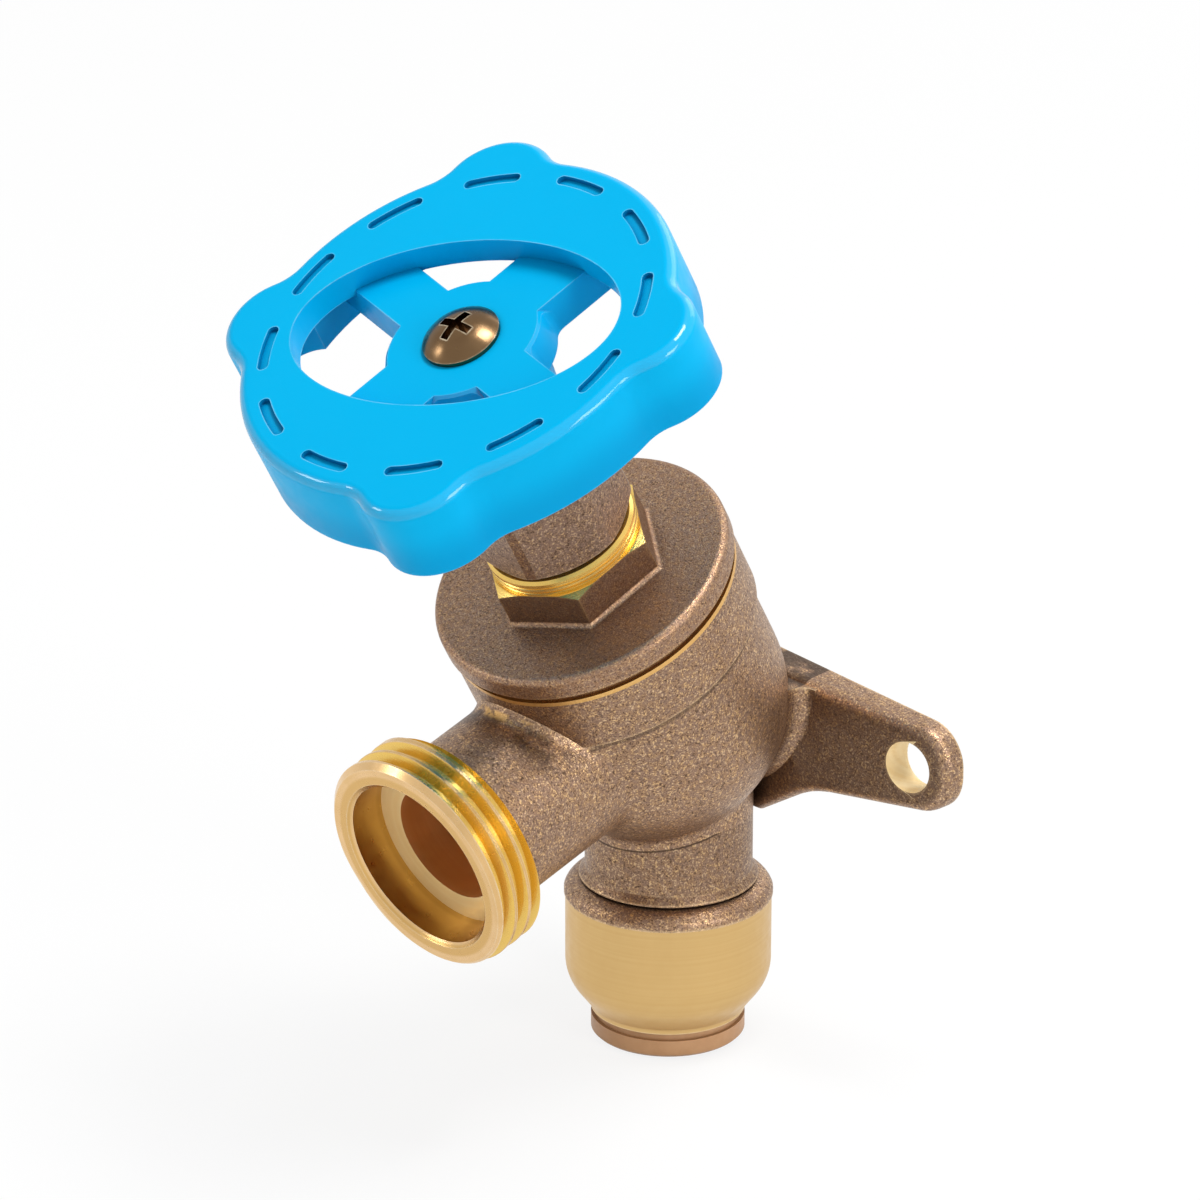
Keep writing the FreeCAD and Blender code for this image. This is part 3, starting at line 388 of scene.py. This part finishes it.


# groove is the colour of a painted reflection in the thread's flanks and roots; shade is how much painted
# shade the hollows get
turnedSizes = {
    "threadBrass": {"axis": "outlet", "light": (0.84, 0.56, 0.28), "deep": (0.70, 0.43, 0.15),
                    "rings": 5200.0, "rough": 0.24, "bump": 0.45, "stainAndShadow": 0.45, "shade": 0.2, "wearAndHighlight": 0.6,
                    "metal": 1.0, "groove": (0.86, 0.57, 0.14), "crest": 0.01336, "face": 0.0416},
    "stepBrass": {"axis": "outlet", "light": (0.98, 0.80, 0.48), "deep": (0.90, 0.68, 0.34),
                  "rings": 5200.0, "rough": 0.42, "bump": 0.30, "stainAndShadow": 0.35, "shade": 0.0, "wearAndHighlight": 0.0,
                  "metal": 0.35},
    "boreBrass": {"axis": "outlet", "light": (0.70, 0.44, 0.13), "deep": (0.50, 0.29, 0.07),
                  "rings": 2600.0, "rough": 0.31, "bump": 0.20, "stainAndShadow": 0.2, "shade": 0.0, "wearAndHighlight": 0.0,
                  "metal": 1.0},
    "flowBrass": {"axis": "outlet", "light": (1.0, 0.62, 0.26), "deep": (0.90, 0.48, 0.16),
                  "rings": 1600.0, "rough": 0.36, "bump": 0.45, "stainAndShadow": 0.4, "shade": 0.0, "wearAndHighlight": 0.0,
                  "metal": 0.75},
    "satinBrass": {"axis": "socket", "light": (0.705, 0.475, 0.20), "deep": (0.68, 0.445, 0.18),
                   "rings": 22000.0, "rough": 0.36, "bump": 0.12, "stainAndShadow": 0.5, "shade": 0.35, "wearAndHighlight": 0.5,
                   "metal": 1.0},
    "innerBrass": {"axis": "stem", "light": (0.82, 0.58, 0.25), "deep": (0.68, 0.44, 0.15),
                   "rings": 5000.0, "rough": 0.28, "bump": 0.3, "stainAndShadow": 0.3, "shade": 0.4, "wearAndHighlight": 0.6,
                   "metal": 1.0},
    "screwBronze": {"axis": "stem", "light": (0.26, 0.165, 0.085), "deep": (0.15, 0.085, 0.040),
                    "rings": 3000.0, "rough": 0.22, "bump": 0.15, "stainAndShadow": 0.5, "shade": 0.25, "wearAndHighlight": 0.8,
                    "metal": 1.0},
}

# what all turned surfaces share
turnedShared = {
    "edge": 0.00035, "clouds": 160.0, "cloudOctaves": 4.0, "cloudy": (0.35, 0.7), "hollow": 0.35,
    "worn": (0.97, 0.84, 0.62), "crestFade": 0.00012, "flat": (0.90, 0.97), "smudges": 700.0,
    "smudged": (0.3, 0.7), "smoother": 0.05, "rougher": 0.07, "depth": 0.00004,
}


def turnedMetal(name, given, shared):
    material, tree, shader, spot = startMaterial(name)
    turnedAbout = alongAxis(tree, spot, given["axis"])
    cuts = placed(tree, turnedRings, Vector=turnedAbout, Rings_per_metre=given["rings"])
    wearAndHighlight = placed(tree, edgeWearAndShade, Vector=spot, Width=shared["edge"])
    clouds = noise(tree, spot, shared["clouds"], octaves=shared["cloudOctaves"])
    cloud = ramped(tree, clouds, *shared["cloudy"])
    deep = given["deep"]
    colour = blended(tree, cuts["Tone"], deep, given["light"])
    colour = blended(tree, product(tree, cloud, given["stainAndShadow"]), colour, deep)
    if "groove" in given:
        # the flanks and roots of the thread are painted a deeper, more saturated gold, a painted reflection
        # of the gold flanks in each other; the crests and the end face keep the paler turned colour
        crests = ramped(tree, cuts["Across"], given["crest"], given["crest"] + shared["crestFade"])
        faces = ramped(tree, facingAlong(tree, given["axis"]), *shared["flat"])
        pale = largest(tree, crests, faces, sums(tree, "GREATER_THAN", cuts["Along"], given["face"]))
        colour = blended(tree, pale, given["groove"], colour)
    # painted shade in hollows, from the ambient occlusion mask
    colour = blended(tree, product(tree, wearAndHighlight["PaintedShade"], given["shade"]), colour,
                     [channel * shared["hollow"] for channel in deep])
    colour = blended(tree, product(tree, wearAndHighlight["Mask"], given["wearAndHighlight"]), colour, shared["worn"])
    tree.links.new(colour, shader.inputs["Base Color"])
    rough = ramped(tree, noise(tree, spot, shared["smudges"], gain=0.5), *shared["smudged"],
                   given["rough"] - shared["smoother"], given["rough"] + shared["rougher"], smooth=False)
    tree.links.new(rough, shader.inputs["Roughness"])
    shader.inputs["Metallic"].default_value = given["metal"]
    bumped(tree, shader, cuts["Height"], given["bump"], shared["depth"])
    return material


# shade is how much painted shade the hollows get
plainSizes = {
    "springSteel": {"light": (0.55, 0.55, 0.56), "deep": (0.42, 0.42, 0.44), "rough": 0.32,
                    "grains": 2500.0, "bump": 0.2, "shade": 0.45, "metal": 1.0},
    "blackRubber": {"light": (0.03, 0.03, 0.032), "deep": (0.018, 0.018, 0.019), "rough": 0.62,
                    "grains": 4000.0, "bump": 0.3, "shade": 0.45, "metal": 0.0},
    "fibreSheet": {"light": (0.16, 0.060, 0.020), "deep": (0.11, 0.040, 0.014), "rough": 0.70,
                   "grains": 5200.0, "bump": 0.8, "shade": 0.0, "metal": 0.0, "speck": (0.26, 0.13, 0.05)},
    "tanPlastic": {"light": (0.60, 0.335, 0.165), "deep": (0.54, 0.29, 0.135), "rough": 0.42,
                   "grains": 3200.0, "bump": 0.15, "shade": 0.45, "metal": 0.0},
}

# what rubber, fibre, plastic and spring steel share
plainShared = {
    "edge": 0.0004, "clouds": 220.0, "cloudOctaves": 4.0, "cloudy": (0.35, 0.65), "specked": (0.60, 0.72),
    "hollow": 0.4, "wearAndHighlight": 0.3, "wornGain": 1.3, "wornLift": 0.05, "fineness": (0.3, 0.7), "spread": 0.06,
    "depth": 0.00006,
}


def plainFinish(name, given, shared):
    material, tree, shader, spot = startMaterial(name)
    wearAndHighlight = placed(tree, edgeWearAndShade, Vector=spot, Width=shared["edge"])
    clouds = noise(tree, spot, shared["clouds"], octaves=shared["cloudOctaves"])
    cloud = ramped(tree, clouds, *shared["cloudy"])
    fine = noise(tree, spot, given["grains"])
    colour = blended(tree, cloud, given["light"], given["deep"])
    if "speck" in given:
        colour = blended(tree, ramped(tree, fine, *shared["specked"]), colour, given["speck"])
    # painted shade in hollows, from the ambient occlusion mask
    colour = blended(tree, product(tree, wearAndHighlight["PaintedShade"], given["shade"]), colour,
                     [channel * shared["hollow"] for channel in given["deep"]])
    worn = [min(1.0, channel * shared["wornGain"] + shared["wornLift"]) for channel in given["light"]]
    colour = blended(tree, product(tree, wearAndHighlight["Mask"], shared["wearAndHighlight"]), colour, worn)
    tree.links.new(colour, shader.inputs["Base Color"])
    rough = ramped(tree, fine, *shared["fineness"], given["rough"] - shared["spread"],
                   given["rough"] + shared["spread"], smooth=False)
    tree.links.new(rough, shader.inputs["Roughness"])
    shader.inputs["Metallic"].default_value = given["metal"]
    bumped(tree, shader, fine, given["bump"], shared["depth"])
    return material


# edge is the colour of a painted highlight along the sharp edges; shade is painted shade in hollows; the
# skirt colour is painted shade down the skirt's sides
paintSizes = {
    "face": (0.0, 0.475, 0.86), "deep": (0.0, 0.43, 0.81), "edge": (0.30, 0.78, 1.0),
    "shade": (0.0, 0.10, 0.28), "skirtShade": (0.0, 0.29, 0.62),
    "clouds": 45.0, "cloudy": (0.3, 0.7), "cloud": 0.25,
    "edgeWidth": 0.0003, "breaks": 260.0, "reach": 0.006, "hollow": 0.75, "wearAndHighlight": 0.6,
    "sideRounded": (0.12, 0.35), "topRounded": (0.985, 0.90),
    "skirtFacing": (0.35, 0.05), "skirtAlong": (0.0612, 0.0556), "skirtDeep": 0.6,
    "peel": 620.0, "peeled": (0.3, 0.7), "rough": (0.30, 0.40), "specular": 0.05,
    "coat": 0.9, "coatRough": 0.07, "bump": 0.12, "depth": 0.00015,
}


def bluePaint(name, given):
    material, tree, shader, spot = startMaterial(name)
    wearAndHighlight = placed(tree, edgeWearAndShade, Vector=spot, Width=given["edgeWidth"], Breaks_per_metre=given["breaks"],
                  Reach=given["reach"])
    cloud = ramped(tree, noise(tree, spot, given["clouds"], gain=0.5), *given["cloudy"])
    peel = noise(tree, spot, given["peel"], octaves=2.0, gain=0.4)
    colour = blended(tree, product(tree, cloud, given["cloud"]), given["face"], given["deep"])
    # painted shade in hollows and between the spokes, from the ambient occlusion mask
    colour = blended(tree, product(tree, wearAndHighlight["PaintedShade"], given["hollow"]), colour, given["shade"])
    # a painted highlight: a paler blue along the sharp edges
    colour = blended(tree, product(tree, wearAndHighlight["Mask"], given["wearAndHighlight"]), colour, given["edge"])
    # the paint pulls into a thicker, glossier skin on the rounded edges, and the skirt's sides get painted
    # shade, darker towards the bottom
    facing = facingAlong(tree, "stem")
    rounded = product(tree, ramped(tree, facing, *given["sideRounded"]),
                      ramped(tree, facing, *given["topRounded"]))
    place = placed(tree, turnedRings, Vector=alongAxis(tree, spot, "stem"))
    lowerShade = product(tree, ramped(tree, facing, *given["skirtFacing"]),
                    ramped(tree, place["Along"], *given["skirtAlong"]), given["skirtDeep"])
    colour = blended(tree, lowerShade, colour, given["skirtShade"])
    tree.links.new(colour, shader.inputs["Base Color"])
    rough = ramped(tree, peel, *given["peeled"], *given["rough"], smooth=False)
    tree.links.new(rough, shader.inputs["Roughness"])
    shader.inputs["Specular IOR Level"].default_value = given["specular"]
    coat = product(tree, largest(tree, rounded, wearAndHighlight["Mask"]), given["coat"])
    tree.links.new(coat, shader.inputs["Coat Weight"])
    shader.inputs["Coat Roughness"].default_value = given["coatRough"]
    bumped(tree, shader, peel, given["bump"], given["depth"])
    return material


bonnetSizes = dict(castSizes, brown=(0.36, 0.21, 0.125), warm=(0.40, 0.235, 0.14), worn=(0.96, 0.66, 0.33),
                   flecks=0.4, grains=5600.0)
nutSizes = dict(castSizes, brown=(0.26, 0.16, 0.108), warm=(0.29, 0.18, 0.12), wearAndHighlight=0.4, flecks=0.4)
finishes = {
    "castBronze": castMetal("castBronze", castSizes, marksAndShade=marksAndShadeSizes),
    "bonnetBronze": castMetal("bonnetBronze", bonnetSizes, gold=bonnetGold),
    "nutBronze": castMetal("nutBronze", nutSizes),
    "bluePaint": bluePaint("bluePaint", paintSizes),
}
for name, sizes in plainSizes.items():
    finishes[name] = plainFinish(name, sizes, plainShared)
for name, sizes in turnedSizes.items():
    finishes[name] = turnedMetal(name, sizes, turnedShared)
print("finishes made:", len(finishes))


# the hose thread is a helical groove, cut into a copy of the casting
hoseThread = {
    "turns": 3.05, "pitch": 2.209 * millimetre, "first": 35.95 * millimetre, "outside": 13.8 * millimetre,
    "depth": 1.45 * millimetre, "rootWidth": 0.55 * millimetre, "mouthWidth": 2.17 * millimetre,
    "steps": 96, "fade": 0.07, "tip": 0.02, "start": math.radians(150.0), "weld": 2e-7,
}


def makeGrooveTree(material, tip):
    tree = bpy.data.node_groups.new("helicalGroove", "GeometryNodeTree")
    wanted = (("Turns", 3.0), ("Pitch", 0.002), ("Outside", 0.014), ("Depth", 0.0014), ("Root Width", 0.0005),
              ("Mouth Width", 0.002), ("Fade", 0.08))
    tree.interface.new_socket("Geometry", in_out="INPUT", socket_type="NodeSocketGeometry")
    for label, value in wanted:
        tree.interface.new_socket(label, in_out="INPUT", socket_type="NodeSocketFloat").default_value = value
    steps = tree.interface.new_socket("Steps", in_out="INPUT", socket_type="NodeSocketInt")
    steps.default_value = 96
    tree.interface.new_socket("Geometry", in_out="OUTPUT", socket_type="NodeSocketGeometry")
    given = tree.nodes.new("NodeGroupInput").outputs
    spiral = newNode(tree, "GeometryNodeCurveSpiral", None, Resolution=given["Steps"],
                     Rotations=given["Turns"], Start_Radius=given["Outside"], End_Radius=given["Outside"],
                     Height=product(tree, given["Turns"], given["Pitch"]))
    upright = newNode(tree, "GeometryNodeSetCurveNormal", {"mode": "Z_UP"}, Curve=spiral.outputs[0])
    profile = newNode(tree, "GeometryNodeCurvePrimitiveQuadrilateral", {"mode": "TRAPEZOID"},
                      Height=given["Depth"], Bottom_Width=given["Mouth Width"], Top_Width=given["Root Width"],
                      Offset=0.0)
    # a quarter turn points the narrow side of the profile at the axis
    shift = newNode(tree, "ShaderNodeCombineXYZ", None, X=product(tree, given["Depth"], 0.5))
    turned = newNode(tree, "GeometryNodeTransform", None, Geometry=profile.outputs[0],
                     Translation=shift.outputs[0], Rotation=(0.0, 0.0, math.radians(-90.0)))
    # the groove runs in and out over a share of its length
    share = newNode(tree, "GeometryNodeSplineParameter").outputs["Factor"]
    rise = ramped(tree, share, 0.0, given["Fade"], tip, 1.0, smooth=False)
    fall = ramped(tree, sums(tree, "SUBTRACT", 1.0, share), 0.0, given["Fade"], tip, 1.0, smooth=False)
    body = newNode(tree, "GeometryNodeCurveToMesh", None, Curve=upright.outputs[0],
                   Profile_Curve=turned.outputs[0], Scale=sums(tree, "MINIMUM", rise, fall), Fill_Caps=True)
    real = newNode(tree, "GeometryNodeRealizeInstances", None, Geometry=body.outputs[0])
    painted = newNode(tree, "GeometryNodeSetMaterial", None, Geometry=real.outputs[0], Material=material)
    end = tree.nodes.new("NodeGroupOutput")
    tree.links.new(painted.outputs[0], end.inputs[0])
    return tree


def plainMesh(thing, name):
    view = bpy.context.evaluated_depsgraph_get()
    mesh = bpy.data.meshes.new_from_object(thing.evaluated_get(view), depsgraph=view)
    mesh.name = name
    return mesh


def newObject(name, mesh):
    made = bpy.data.objects.new(name, mesh)
    bpy.context.scene.collection.objects.link(made)
    return made


def outward(mesh, weld):
    work = bmesh.new()
    work.from_mesh(mesh)
    bmesh.ops.remove_doubles(work, verts=work.verts, dist=weld)
    bmesh.ops.dissolve_degenerate(work, edges=work.edges, dist=weld)
    bmesh.ops.recalc_face_normals(work, faces=work.faces)
    work.to_mesh(mesh)
    work.free()


def grooveCutter(given, axis):
    tree = makeGrooveTree(finishes["threadBrass"], given["tip"])
    cutter = newObject("grooveCutter", bpy.data.meshes.new("grooveCutter"))
    modifier = cutter.modifiers.new("groove", "NODES")
    modifier.node_group = tree
    sizes = {"Turns": given["turns"], "Pitch": given["pitch"], "Outside": given["outside"],
             "Depth": given["depth"], "Root Width": given["rootWidth"], "Mouth Width": given["mouthWidth"],
             "Fade": given["fade"], "Steps": given["steps"]}
    for item in tree.interface.items_tree:
        if item.in_out == "INPUT" and item.name in sizes:
            modifier[item.identifier] = sizes[item.name]
    cutter.update_tag()
    bpy.context.view_layer.update()
    mesh = plainMesh(cutter, "grooveCutter")
    bpy.data.objects.remove(cutter)
    first = Matrix.Translation((0, 0, given["first"]))
    mesh.transform(axisMatrix(axis) @ first @ Matrix.Rotation(given["start"], 4, "Z"))
    outward(mesh, given["weld"])
    return mesh


castingSizes = {"weld": 1e-6, "sharp": math.radians(28.0)}


def copyOfNode(node, name, weld):
    mesh = nodes[node].data.copy()
    mesh.name = name
    for extra in ("custom_normal", "sharp_edge", "sharp_face"):
        if extra in mesh.attributes:
            mesh.attributes.remove(mesh.attributes[extra])
    work = bmesh.new()
    work.from_mesh(mesh)
    bmesh.ops.remove_doubles(work, verts=work.verts, dist=weld)
    work.to_mesh(mesh)
    work.free()
    return newObject(name, mesh)


def cutAway(thing, mesh):
    cutter = newObject("cutter", mesh)
    cut = thing.modifiers.new("thread", "BOOLEAN")
    cut.operation, cut.solver, cut.object = "DIFFERENCE", "EXACT", cutter
    bpy.context.view_layer.update()
    thing.data = plainMesh(thing, thing.name)
    thing.modifiers.clear()
    bpy.data.objects.remove(cutter)


casting = copyOfNode("valve_body", "bodyCasting", castingSizes["weld"])
cutterMesh = grooveCutter(hoseThread, "outlet")
before = len(casting.data.polygons)
cutAway(casting, cutterMesh)
print("groove cutter faces:", len(cutterMesh.polygons))
print("casting faces:", before, "then", len(casting.data.polygons))

# machined faces of the casting, in mm: axis, from and to along it, farthest from it, finish
# the first zone that holds a face gives it its finish
machinedZones = (
    ("outlet", 37.4, 37.6, 10.45, "stepBrass"),  # the ring that the hose washer meets
    ("outlet", 37.4, 42.2, 10.45, "boreBrass"),
    ("outlet", 7.5, 37.6, 7.4, "flowBrass"),
    ("outlet", 35.85, 44.0, 13.9, "threadBrass"),
    ("stem", 20.75, 22.0, 18.0, "innerBrass"),
    ("stem", -3.9, 20.75, 14.4, "innerBrass"),
    ("socket", 4.0, 27.0, 8.3, "boreBrass"),
    ("socket", 21.0, 27.0, 11.3, "innerBrass"),
)
screwHole = {"apart": 57.2 * millimetre, "round": 3.3 * millimetre, "finish": "stepBrass"}
toAxis = {axis: axisMatrix(axis).inverted() for axis in axes}


def finishAt(centre):
    if math.hypot(abs(centre.x) - screwHole["apart"] / 2, centre.z) < screwHole["round"]:
        return screwHole["finish"]
    for axis, start, end, reach, finish in machinedZones:
        place = toAxis[axis] @ centre / millimetre
        if start < place.z < end and math.hypot(place.x, place.y) < reach:
            return finish
    return "castBronze"


castingFinishes = ["castBronze", "threadBrass", "stepBrass", "boreBrass", "flowBrass", "innerBrass"]
casting.data.materials.clear()
for finish in castingFinishes:
    casting.data.materials.append(finishes[finish])
for face in casting.data.polygons:
    face.material_index = castingFinishes.index(finishAt(face.center))
casting.data.shade_smooth()
casting.data.set_sharp_from_angle(angle=castingSizes["sharp"])
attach(casting, "valve")
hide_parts("valve_body")

# finishes of the solids that stay
finishOf = {
    "bonnet": "bonnetBronze", "packing_nut": "nutBronze", "socket_sleeve": "satinBrass",
    "spindle": "innerBrass", "seat_disc": "innerBrass", "seat_ring": "innerBrass",
    "washer_nut": "innerBrass", "gland_ring": "innerBrass", "packing_washer": "innerBrass",
    "handwheel": "bluePaint", "handwheel_screw": "screwBronze",
    "grab_ring": "springSteel", "swivel_clip": "springSteel",
    "seat_washer": "blackRubber", "socket_oring": "blackRubber",
    "bonnet_gasket": "fibreSheet", "packing": "fibreSheet",
    "release_collar": "tanPlastic", "oring_spacer": "tanPlastic", "ring_guide": "tanPlastic",
}
for node, finish in finishOf.items():
    nodes[node].data.materials.clear()
    nodes[node].data.materials.append(finishes[finish])
print("finishes given:", len(finishOf))

# worldLight is how strongly the world lights the object, inMetal is how bright metal shows it
studio = {
    "floorSize": 6.0, "floorDrop": 0.0004, "floorWhite": 0.93, "floorShadow": 0.15, "worldLight": 0.38,
    "inMetal": 0.82, "aim": (0.0, -0.022, 0.012),
    "lamps": {
        "top": {"place": (0.28, 0.12, 1.3), "size": 0.45, "power": 11.0},
        "left": {"place": (-0.9, -0.9, 0.55), "size": 0.25, "power": 1.6},
        "right": {"place": (1.3, -0.1, 0.5), "size": 0.5, "power": 5.5},
        "rear": {"place": (-0.2, 1.2, 0.8), "size": 0.8, "power": 3.0},
    },
}


plainWhite = (1.0, 1.0, 1.0, 1.0)


def stageFloor(given):
    half = given["floorSize"] / 2
    level = cadLow.z - given["floorDrop"]
    corners = [(-half, -half, level), (half, -half, level), (half, half, level), (-half, half, level)]
    mesh = bpy.data.meshes.new("studioFloor")
    mesh.from_pydata(corners, [], [(0, 1, 2, 3)])
    made = newObject("studioFloor", mesh)
    material = bpy.data.materials.new("studioFloor")
    material.use_nodes = True
    tree = material.node_tree
    tree.nodes.clear()
    path = newNode(tree, "ShaderNodeLightPath").outputs
    seen = largest(tree, path["Is Camera Ray"], path["Is Glossy Ray"], path["Is Transmission Ray"])
    white = newNode(tree, "ShaderNodeEmission", None, Color=plainWhite, Strength=1.0)
    matt = newNode(tree, "ShaderNodeBsdfDiffuse", None, Color=(given["floorWhite"],) * 3 + (1.0,))
    mixed = newNode(tree, "ShaderNodeMixShader", None, i0=product(tree, seen, 1.0 - given["floorShadow"]),
                    i1=matt.outputs[0], i2=white.outputs[0])
    end = newNode(tree, "ShaderNodeOutputMaterial")
    tree.links.new(mixed.outputs[0], end.inputs[0])
    mesh.materials.append(material)


def stageWorld(given):
    world = bpy.data.worlds.new("studioWorld")
    bpy.context.scene.world = world
    world.use_nodes = True
    tree = world.node_tree
    tree.nodes.clear()
    path = newNode(tree, "ShaderNodeLightPath").outputs
    glossy = product(tree, path["Is Glossy Ray"], given["inMetal"])
    level = largest(tree, path["Is Camera Ray"], path["Is Transmission Ray"], glossy, given["worldLight"])
    light = newNode(tree, "ShaderNodeBackground", None, Color=plainWhite, Strength=level)
    end = newNode(tree, "ShaderNodeOutputWorld")
    tree.links.new(light.outputs[0], end.inputs[0])


def stageLamps(given):
    aim = Vector(given["aim"])
    for name, lamp in given["lamps"].items():
        data = bpy.data.lights.new(name, "AREA")
        data.shape, data.size, data.energy = "SQUARE", lamp["size"], lamp["power"]
        made = newObject(name, data)
        made.location = lamp["place"]
        made.rotation_euler = (aim - Vector(lamp["place"])).to_track_quat("-Z", "Y").to_euler()


stageFloor(studio)
stageWorld(studio)
stageLamps(studio)

# the camera's place and its three directions, as fitted to the photograph
photoView = {
    "place": (0.524777, -0.552092, 0.314732),
    "right": (0.70854732, 0.7056623, 0.0011875),
    "up": (-0.26173579, 0.26124234, 0.92911077),
    "back": (0.65532821, -0.65862976, 0.36979964),
    "lens": 210.0, "sensor": 36.0, "near": 0.01, "far": 50.0,
}


def stageCamera(given):
    data = bpy.data.cameras.new("photoCamera")
    data.lens, data.sensor_width, data.sensor_fit = given["lens"], given["sensor"], "AUTO"
    data.clip_start, data.clip_end = given["near"], given["far"]
    made = newObject("photoCamera", data)
    turn = Matrix((given["right"], given["up"], given["back"])).transposed().to_4x4()
    made.matrix_world = Matrix.Translation(given["place"]) @ turn
    bpy.context.scene.camera = made


stageCamera(photoView)
bpy.context.scene.view_settings.view_transform = "Standard"
print("studio set")
